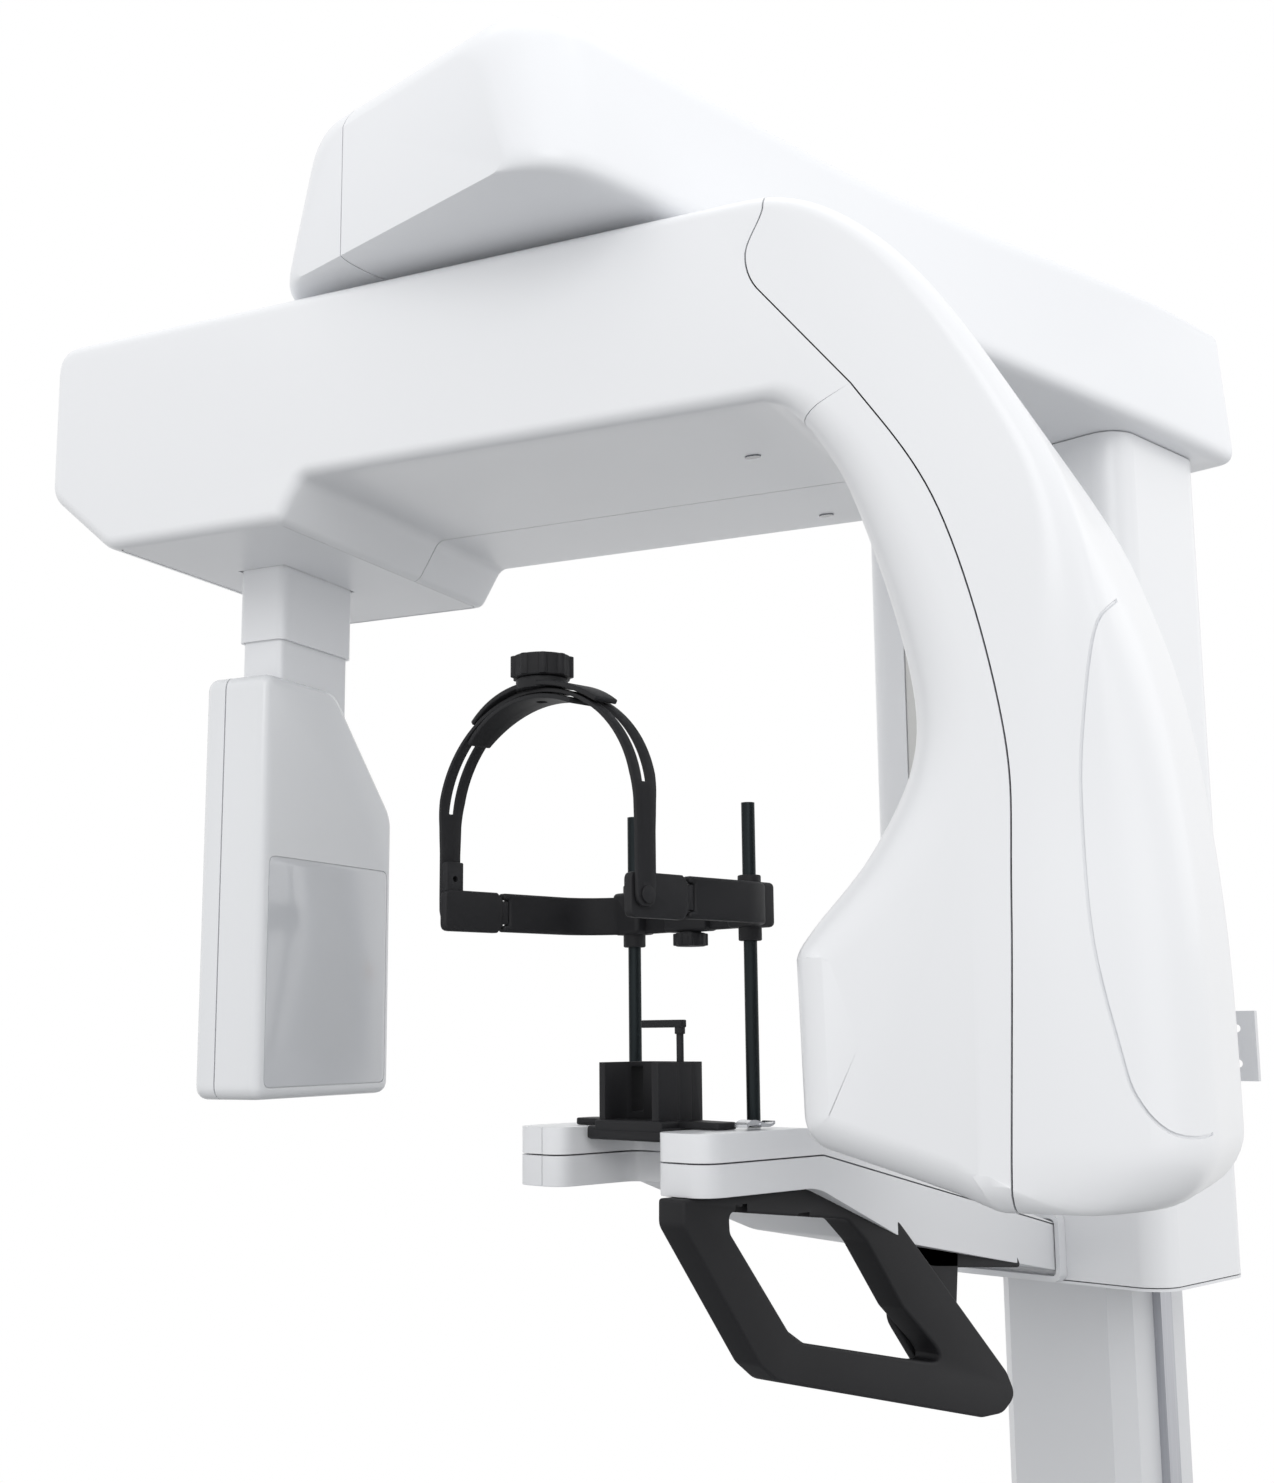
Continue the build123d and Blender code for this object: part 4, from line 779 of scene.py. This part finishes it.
# ---- repeats made with Geometry Nodes ----
def repeatTree(name, ring):
    # the incoming mesh plus a ring or a row of rods or blocks, all in one material
    tree = bpy.data.node_groups.new(name, "GeometryNodeTree")
    groupSocket(tree, "Geometry", "INPUT", "NodeSocketGeometry")
    groupSocket(tree, "Count", "INPUT", "NodeSocketInt", 8)
    groupSocket(tree, "Centre", "INPUT", "NodeSocketVector", (0, 0, 0))
    groupSocket(tree, "Step", "INPUT", "NodeSocketVector", (0.01, 0, 0))
    groupSocket(tree, "Piece Radius", "INPUT", "NodeSocketFloat", 0.004)
    groupSocket(tree, "Piece Length", "INPUT", "NodeSocketFloat", 0.01)
    groupSocket(tree, "Piece Turn", "INPUT", "NodeSocketVector", (0, 0, 0))
    groupSocket(tree, "Finish", "INPUT", "NodeSocketMaterial")
    groupSocket(tree, "Geometry", "OUTPUT", "NodeSocketGeometry")
    nodes, links = tree.nodes, tree.links
    source = nodes.new("NodeGroupInput")
    result = nodes.new("NodeGroupOutput")
    line = nodes.new("GeometryNodeMeshLine")
    links.new(source.outputs["Count"], line.inputs["Count"])
    piece = nodes.new("GeometryNodeMeshCylinder")
    piece.inputs["Vertices"].default_value = 20
    links.new(source.outputs["Piece Radius"], piece.inputs["Radius"])
    links.new(source.outputs["Piece Length"], piece.inputs["Depth"])
    turned = nodes.new("GeometryNodeTransform")
    links.new(piece.outputs["Mesh"], turned.inputs["Geometry"])
    links.new(source.outputs["Piece Turn"], turned.inputs["Rotation"])
    many = nodes.new("GeometryNodeInstanceOnPoints")
    links.new(line.outputs["Mesh"], many.inputs["Points"])
    links.new(turned.outputs["Geometry"], many.inputs["Instance"])
    move = nodes.new("GeometryNodeTranslateInstances")
    links.new(many.outputs["Instances"], move.inputs["Instances"])
    links.new(source.outputs["Step"], move.inputs["Translation"])
    if ring:
        line.inputs["Offset"].default_value = (0, 0, 0)
        index = nodes.new("GeometryNodeInputIndex")
        share = nodes.new("ShaderNodeMath")
        share.operation = "DIVIDE"
        links.new(index.outputs["Index"], share.inputs[0])
        links.new(source.outputs["Count"], share.inputs[1])
        angle = nodes.new("ShaderNodeMath")
        angle.operation = "MULTIPLY"
        angle.inputs[1].default_value = 2 * pi
        links.new(share.outputs[0], angle.inputs[0])
        spin = nodes.new("ShaderNodeCombineXYZ")
        links.new(angle.outputs[0], spin.inputs["Z"])
        links.new(spin.outputs[0], many.inputs["Rotation"])
        move.inputs["Local Space"].default_value = True
    else:
        links.new(source.outputs["Step"], line.inputs["Offset"])
    placed = nodes.new("GeometryNodeTransform")
    links.new(move.outputs["Instances"], placed.inputs["Geometry"])
    links.new(source.outputs["Centre"], placed.inputs["Translation"])
    both = nodes.new("GeometryNodeJoinGeometry")
    links.new(placed.outputs["Geometry"], both.inputs["Geometry"])
    links.new(source.outputs["Geometry"], both.inputs["Geometry"])
    real = nodes.new("GeometryNodeRealizeInstances")
    links.new(both.outputs["Geometry"], real.inputs["Geometry"])
    painted = nodes.new("GeometryNodeSetMaterial")
    links.new(real.outputs["Geometry"], painted.inputs["Geometry"])
    links.new(source.outputs["Finish"], painted.inputs["Material"])
    links.new(painted.outputs["Geometry"], result.inputs["Geometry"])
    return tree


ringTree = repeatTree("ringOfPieces", True)
rowTree = repeatTree("rowOfPieces", False)


def repeat(obj, tree, values):
    step = obj.modifiers.new("repeat", "NODES")
    step.node_group = tree
    for item in tree.interface.items_tree:
        if item.in_out == "INPUT" and item.name in values:
            step[item.identifier] = values[item.name]
    settle(obj)
    return obj


def merged(name, parts):
    # one mesh from several closed pieces
    whole = bmesh.new()
    for part in parts:
        whole.from_mesh(part.data)
        bpy.data.objects.remove(part)
    mesh = bpy.data.meshes.new(name)
    whole.to_mesh(mesh)
    whole.free()
    obj = bpy.data.objects.new(name, mesh)
    bpy.context.scene.collection.objects.link(obj)
    return obj


def softBox(name, low, high, radius, steps=3):
    return soften(block(name, low, high), radius, steps)


def rodAt(name, centre, radius, low, high, edge=1.0, steps=48):
    return soften(disc(name, centre, radius, low, high, steps), edge, 2, 50)


def sheetOf(name, stations, thick, gap=None):
    # strap from stations of (point, outward, across, half width); gap(i) tells where its slot is open
    verts, faces = [], []
    count = len(stations)
    for point, outward, across, half, slit in stations:
        for side in (-half, -slit, slit, half):
            for level in (0, thick):
                verts.append(tuple(Vector(point) + Vector(across) * side + Vector(outward) * level))

    def at(i, column, level):
        return i * 8 + column * 2 + level

    def filled(i, column):
        return 0 <= i < count - 1 and 0 <= column < 3 and not (column == 1 and gap and gap(i))

    for i in range(count - 1):
        for column in range(3):
            if not filled(i, column):
                continue
            a, b, c, d = (i, column), (i, column + 1), (i + 1, column + 1), (i + 1, column)
            faces.append((at(*a, 1), at(*b, 1), at(*c, 1), at(*d, 1)))
            faces.append((at(*d, 0), at(*c, 0), at(*b, 0), at(*a, 0)))
            sides = ((a, b, (i - 1, column)), (b, c, (i, column + 1)), (c, d, (i + 1, column)),
                     (d, a, (i, column - 1)))
            for start, end, other in sides:
                if not filled(*other):
                    faces.append((at(*start, 0), at(*end, 0), at(*end, 1), at(*start, 1)))
    return plainMesh(name, verts, faces)


# ---- head support ----
head = {"armX": 116, "yokeY": -712, "rodsY": table["rodsY"], "rodX": table["rodX"], "low": 1532,
        "high": 1567, "thick": 10, "padZ": 1549, "pivotY": -766, "strapX": 121.4, "strapThick": 3.6,
        "springZ": 1625, "crownZ": 1729, "knobRadius": 25, "knobLobe": 4.6, "knobLobes": 9,
        "knobLow": 1741.5, "knobHigh": 1761}


def yokeBand():
    middle = fillet([(-head["armX"], head["yokeY"]), (-head["armX"], -610), (-60, -581), (60, -581),
                     (head["armX"], -610), (head["armX"], head["yokeY"])], [0, 52, 30, 30, 52, 0], 9)
    count = len(middle)
    left, right = [], []
    for i, p in enumerate(middle):
        a, b = middle[max(i - 1, 0)], middle[min(i + 1, count - 1)]
        way = Vector((b[0] - a[0], b[1] - a[1])).normalized()
        if i in (0, count - 1):
            way = Vector((0, 1 if i == 0 else -1))
        left.append((p[0] - way.y * head["thick"] / 2, p[1] + way.x * head["thick"] / 2))
        right.append((p[0] + way.y * head["thick"] / 2, p[1] - way.x * head["thick"] / 2))
    return prism("yokeBand", left + right[::-1], head["low"], head["high"], flatPlace)


band = yokeBand()
for side in (-1, 1):
    x = side * head["armX"]
    combine(band, block("knuckleCut", (x - 8, head["yokeY"] - 4, head["low"] + 6), (x + 8, head["yokeY"] + 7,
                        head["high"] - 6)), "DIFFERENCE")
soften(band, 2.6, 4)
yokeParts = [band]
for side in (-1, 1):
    x = side * head["rodX"]
    bossEnd = x + 19 if side > 0 else x + 17
    yokeParts.append(softBox("rodBoss", (x - 17, head["rodsY"] - 13.5, head["low"] - 0.6),
                             (bossEnd, head["rodsY"] + 13.5, head["high"] + 4), 4.5, 4))
yokeParts.append(softBox("screwBoss", (-26, head["rodsY"] - 10, head["low"] - 0.8), (26, head["rodsY"] + 11,
                         head["high"] - 2), 4, 3))
yoke = merged("yoke", yokeParts)
for side in (-1, 1):
    bushCut = disc("bushCut", (side * head["rodX"], head["rodsY"]), 10.6, 1500, 1600)
    combine(yoke, bushCut, "DIFFERENCE", careful=True)
ready(yoke, "yokeBand", softBlack, "head_support", ("yoke",), angle=32)

bushes = [rodAt("bush", (side * head["rodX"], head["rodsY"]), 10.4, head["low"] - 12, head["high"] + 11, 1.2)
          for side in (-1, 1)]
bushes = merged("bushes", bushes)
for side in (-1, 1):
    combine(bushes, disc("rodCut", (side * head["rodX"], head["rodsY"]), 6.15, 1400, 1700, 32), "DIFFERENCE",
            careful=True)
ready(bushes, "rodBushes", softBlack, "head_support", ("rod_bushes",))

padParts = []
for side in (-1, 1):
    x = side * head["armX"]
    padPlan = fillet([(-779.6, 1530.8), (-719, 1530.8), (-712.6, 1537), (-712.6, 1561), (-719, 1567.2),
                      (-779.6, 1567.2)], [7, 2, 2, 2, 2, 7], 5)
    padParts.append(soften(prism("pad", padPlan, x - 4.2, x + 4.2, sidePlace), 1.6, 3))
    padParts.append(softBox("knuckle", (x - 3.4, -716, 1539), (x + 3.4, -705.6, 1560), 1.2, 2))
ready(merged("pads", padParts), "templePads", softBlack, "head_support", ("temple_pads",))

pinParts = []
for side in (-1, 1):
    x = side * head["armX"]
    inner = min(x + side * 3.5, x + side * 9.4), max(x + side * 3.5, x + side * 9.4)
    outer = min(x + side * 9.4, x + side * 11.3), max(x + side * 9.4, x + side * 11.3)
    for radius, (low, high) in ((3.9, inner), (7, outer)):
        ring = roundLine((head["pivotY"], head["padZ"]), (radius, radius), 32)
        pinParts.append(soften(prism("pin", ring, low, high, sidePlace), 0.6, 2, 50))
ready(merged("pins", pinParts), "pivotPins", softBlack, "head_support", ("pivot_pins",))


def archPoint(angle, grow=0.0):
    # point of the strap's inner line at an angle above the springing, and its outward direction
    a, b = head["strapX"] + grow, head["crownZ"] - head["springZ"] - head["strapThick"] / 2 + grow
    point = Vector((a * cos(angle), head["pivotY"], head["springZ"] + b * sin(angle)))
    outward = Vector((cos(angle) / a, 0, sin(angle) / b)).normalized()
    return point, outward


def archStations(first, last, steps, half, slit=3.0, grow=0.0):
    return [(*archPoint(radians(first + (last - first) * k / steps), grow), (0, 1, 0),
             half(first + (last - first) * k / steps), slit) for k in range(steps + 1)]


strapWide = {"leg": 10.8, "hip": 13.6, "slot": 3.0, "from": 7, "to": 58}


def strapHalf(angle):
    lean = min(angle, 180 - angle)
    return strapWide["leg"] + (strapWide["hip"] - strapWide["leg"]) * min(max((lean + 6) / 18, 0), 1)


legShape = [(1539.6, 4.6), (1541.2, 7.2), (1544, 9.4), (1549, 10.6), (1560, 10.8), (1580, 10.8), (1600, 10.8),
            (1614, 11.4)]


def legStations(side):
    return [(Vector((side * head["strapX"], head["pivotY"], z)), Vector((side, 0, 0)), (0, 1, 0), half,
             strapWide["slot"]) for z, half in legShape]


nearLeg = legStations(1)
farLeg = legStations(-1)[::-1]
span = archStations(0, 180, 90, strapHalf, strapWide["slot"])
stations = nearLeg + span + farLeg
offset = len(nearLeg)


def slotOpen(i):
    angle = (i - offset) * 2
    lean = min(angle, 180 - angle)
    return strapWide["from"] <= lean < strapWide["to"]


strap = sheetOf("archStrap", stations, head["strapThick"], slotOpen)
soften(strap, 0.8, 2, 40)
brackets = [softBox("hinge", (-121.3, -777, 1566), (-113.5, -758, 1592), 1.2, 2)]
strap = merged("strap", [strap] + brackets)
pinHole = roundLine((head["pivotY"], head["padZ"]), (4.2, 4.2), 32)
combine(strap, prism("pinHole", pinHole, -140, 140, sidePlace), "DIFFERENCE", careful=True)
eye = roundLine((-767.5, 1577), (2.8, 2.8), 24)
combine(strap, prism("eye", eye, -119, -100, sidePlace), "DIFFERENCE", careful=True)
ready(strap, "archStrap", softBlack, "head_arch", ("arch_straps",))

saddleTop = sheetOf("saddleTop",
                    archStations(52, 128, 38, lambda a: 19 - 0.0042 * (a - 90) ** 2, 3, 5.4), 4.4)
soften(saddleTop, 1.4, 3, 40)
liner = sheetOf("liner", archStations(64, 136, 36, lambda a: 17.5 - 0.0025 * (a - 90) ** 2, 3, -5.6), 4.2)
soften(liner, 1.2, 2, 40)
collar = rodAt("collar", (0, head["pivotY"]), 22.4, head["crownZ"] + 2, head["knobLow"] - 0.5, 1.4, 64)
saddle = merged("saddle", [saddleTop, liner, collar])
combine(saddle, disc("screwCut", (0, head["pivotY"]), 5.1, 1700, 1800, 32), "DIFFERENCE", careful=True)
ready(saddle, "archSaddle", softBlack, "head_arch", ("arch_saddle",))


def lobedKnob(name, centre, radius, lobe, lobes, low, high, stem):
    # turned body with a ring of rounded lobes and the screw it carries
    body = soften(disc("body", centre, radius, low, high, 64), 1.6, 3, 50)
    cap = soften(disc("cap", centre, radius * 0.72, high - 1, high + 0.9, 64), 0.6, 2, 50)
    screw = disc("screw", centre, 4.9, *stem, 32)
    knob = merged(name, [body, cap, screw])
    repeat(knob, ringTree, {"Count": lobes, "Centre": tuple(Vector((*centre, (low + high) / 2)) * mm),
                            "Step": ((radius - 0.45 * lobe) * mm, 0, 0), "Piece Radius": lobe * mm,
                            "Piece Length": (high - low - 1.2) * mm, "Finish": softBlack})
    return soften(knob, 0.7, 2, 60)


crown = lobedKnob("crownKnob", (0, head["pivotY"]), head["knobRadius"], head["knobLobe"], head["knobLobes"],
                  head["knobLow"], head["knobHigh"], (1727, 1743))
ready(crown, "crownKnob", softBlack, "crown_knob", ("arch_knob",))
clampKnob = lobedKnob("clampKnob", (0, head["rodsY"]), 14.2, 3.2, 8, head["low"] - 14, head["low"] - 1.8,
                      (1530, 1542))
ready(clampKnob, "clampKnob", softBlack, "clamp_knob", ("lock_knob",))
print("head support made")


# ---- chin rest and bite rod ----
chin = {"y": -636, "low": 1359.3, "plate": 1365.3, "top": 1415.3, "wide": 72, "deep": 60, "wall": 7,
        "slotX": -24.5, "slot": 7.5, "rodX": 29, "rodY": -630, "rod": 3.2, "barZ": 1448.3}
back, front = chin["y"] + chin["deep"] / 2, chin["y"] - chin["deep"] / 2
side = chin["wide"] / 2
hollowTurns = [pi * k / 24 for k in range(25)]
hollow = [((side - chin["wall"]) * cos(t), front + (chin["deep"] - chin["wall"]) * sin(t) ** 0.8)
          for t in hollowTurns]
cupPlan = [(-side, front), (-side, back - 6), (-side + 1.8, back - 1.8), (-side + 6, back), (side - 6, back),
           (side - 1.8, back - 1.8), (side, back - 6)]
for grooveY in (back - 16, back - 34):
    cupPlan += [(side, grooveY + 1.4), (side - 1.8, grooveY), (side, grooveY - 1.4)]
cupPlan += [(side, front + 1.5), (side - 1.5, front)] + hollow
cup = prism("cup", cupPlan, chin["plate"] - 1, chin["top"], flatPlace)
slotCut = block("slotCut", (chin["slotX"] - chin["slot"] / 2, chin["y"], 1372),
                (chin["slotX"] + chin["slot"] / 2, back + 5, chin["top"] - 4))
combine(cup, slotCut, "DIFFERENCE")
soften(cup, 0.9, 3, 34)
platePlan = fillet([(-88, -647), (88, -647), (88, -622), (36, -612), (-36, -612), (-88, -622)],
                   [5, 5, 6, 12, 12, 6], 4)
plate = soften(prism("plate", platePlan, chin["low"], chin["plate"], flatPlace), 1.4, 3)
tongue = softBox("tongue", (-51, -668, 1348.6), (51, -612, 1360.4), 3, 3)
lip = softBox("lip", (-40, -668.6, 1356), (42, -640, 1366), 2.4, 3)
rest = merged("rest", [cup, plate, tongue, lip])
combine(rest, disc("biteCut", (chin["rodX"], chin["rodY"]), chin["rod"] + 0.1, 1367, 1460, 24), "DIFFERENCE",
        careful=True)
ready(rest, "chinRest", softBlack, "chin_support", ("chin_rest",))
biteBar = soften(prism("bar", fillet([(-16, -634.5), (34, -634.5), (34, -625.5), (-16, -625.5)], 3, 5),
                       chin["barZ"] - 3.4, chin["barZ"] + 3.4, flatPlace), 1, 2)
biteStem = rodAt("biteRod", (chin["rodX"], chin["rodY"]), chin["rod"], 1372, chin["barZ"], 0.5, 32)
biteCollar = rodAt("collar", (chin["rodX"], chin["rodY"]), 4.6, chin["barZ"] - 9, chin["barZ"] - 3, 0.6, 32)
bite = merged("bite", [biteStem, biteBar, biteCollar])
ready(bite, "biteRod", softBlack, "bite_piece", ("bite_rod",))
print("chin rest made")


# ---- handle ----
grip = {"x": 87, "half": 15, "edge": 8, "front": table["front"], "under": table["bottom"], "stayX": 64,
        "screws": ((60, 6.8), (141, 19.5))}


def gripPlace(y, drop, x):
    return x, grip["front"] + y, grip["under"] - drop


gripLine = fillet([(-9, 0.6), (-9.4, 22), (80, 140), (102, 156), (398, 229), (432, 230), (455, 217),
                   (441, 193), (252, 16), (236, -4), (150, 0.6)],
                  [0, 14, 24, 26, 30, 26, 22, 30, 30, 30, 0], 9)
gripHole = fillet([(46, 14), (201, 32), (228, 54), (278, 116), (352, 176), (138, 129), (118, 117), (47, 31)],
                  [9, 20, 20, 20, 14, 16, 16, 9], 8)
loop = prism("loop", gripLine, grip["x"] - grip["half"], grip["x"] + grip["half"], gripPlace)
combine(loop, prism("opening", gripHole, 0, 160, gripPlace), "DIFFERENCE")
soften(loop, grip["edge"], 5, 34)
for y, drop in grip["screws"]:
    mouth = roundLine((grip["x"] + 9, grip["front"] + y), (8, 11), 32)
    recess = prism("recess", mouth, grip["under"] - drop - 16, grip["under"] - drop - 2, flatPlace)
    combine(loop, recess, "DIFFERENCE")
grips = merged("handle", [loop])
firstScrew = Vector((grip["x"] + 9, grip["front"] - 21, grip["under"] - 1.6)) * mm
repeat(grips, rowTree, {"Count": 2, "Centre": tuple(firstScrew), "Step": (0, 81 * mm, -5 * mm),
                        "Piece Radius": 5.4 * mm, "Piece Length": 8 * mm, "Finish": gripBlack})
ready(grips, "handleLoop", gripBlack, "carriage", ("handle",), angle=40)
stayLine = fillet([(330, 60), (412, 78), (404, 142), (386, 184), (340, 176), (300, 130)],
                  [6, 6, 20, 14, 14, 20], 5)
stayFootLine = fillet([(330, 62), (512, 92), (520, 106), (372, 92), (330, 84)], 4, 4)
stayPlate = soften(prism("stayPlate", stayLine, grip["stayX"] - 2, grip["stayX"] + 7, gripPlace), 1.8, 3)
stayFoot = soften(prism("stayFoot", stayFootLine, grip["stayX"] - 18, grip["stayX"] + 7, gripPlace), 1.4, 2)
ready(merged("stay", [stayPlate, stayFoot]), "handleStay", gripBlack, "carriage", ("handle_stay",))
print("handle made")


# ---- CAD nodes that keep their own shape ----
cadFinish = {
    shellWhite: ["carriage_cover", "neck_sleeve", "beam_window", "neck_slider"],
    lowerWhite: ["carriage_base_cover", "foot_skirt", "bay_cover", "arm_collar"],
    panelGrey: ["carriage_panel"],
    columnPaint: ["column_shell", "wall_bracket"],
    floorPaint: ["floor_plate"],
    softBlack: ["power_inlet", "power_switch"],
    frameDark: ["guide_shoes", "rotation_motor", "xray_tube", "sensor"],
    stopRed: ["emergency_stop"],
    stopYellow: ["stop_housing"],
    beltRubber: ["drive_belt"],
    castAlloy: ["carriage_frame", "shelf_frame", "arm_frame", "support_frame", "slide_plate",
                "lift_actuator"],
    groundSteel: ["guide_rails", "foot_bolts", "lift_piston", "pivot_pins"],
    turnedSteel: ["slewing_bearing", "drive_pulley", "spindle"],
    bluedSteel: ["support_rods"],
    polishedAlloy: ["height_rocker"],
    smokedLens: ["indicator_lenses"],
}
for material, names in cadFinish.items():
    for name in names:
        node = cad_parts[name]
        if not node.data.materials:
            node.data.materials.append(material)
        for index in range(len(node.data.materials)):
            node.data.materials[index] = material
print("carried pieces finished")


# ---- floor ----
floorDisc = disc("studioFloor", (0, -400), studio["floorRadius"] * 1000, -60, -0.5, 96)
floorTone = moulded("studioFloorTone", studio["floorTint"], studio["floorTint"], 0.6, 0.05, 40, 0.02, 0.0)
floorDisc.data.materials.append(floorTone)
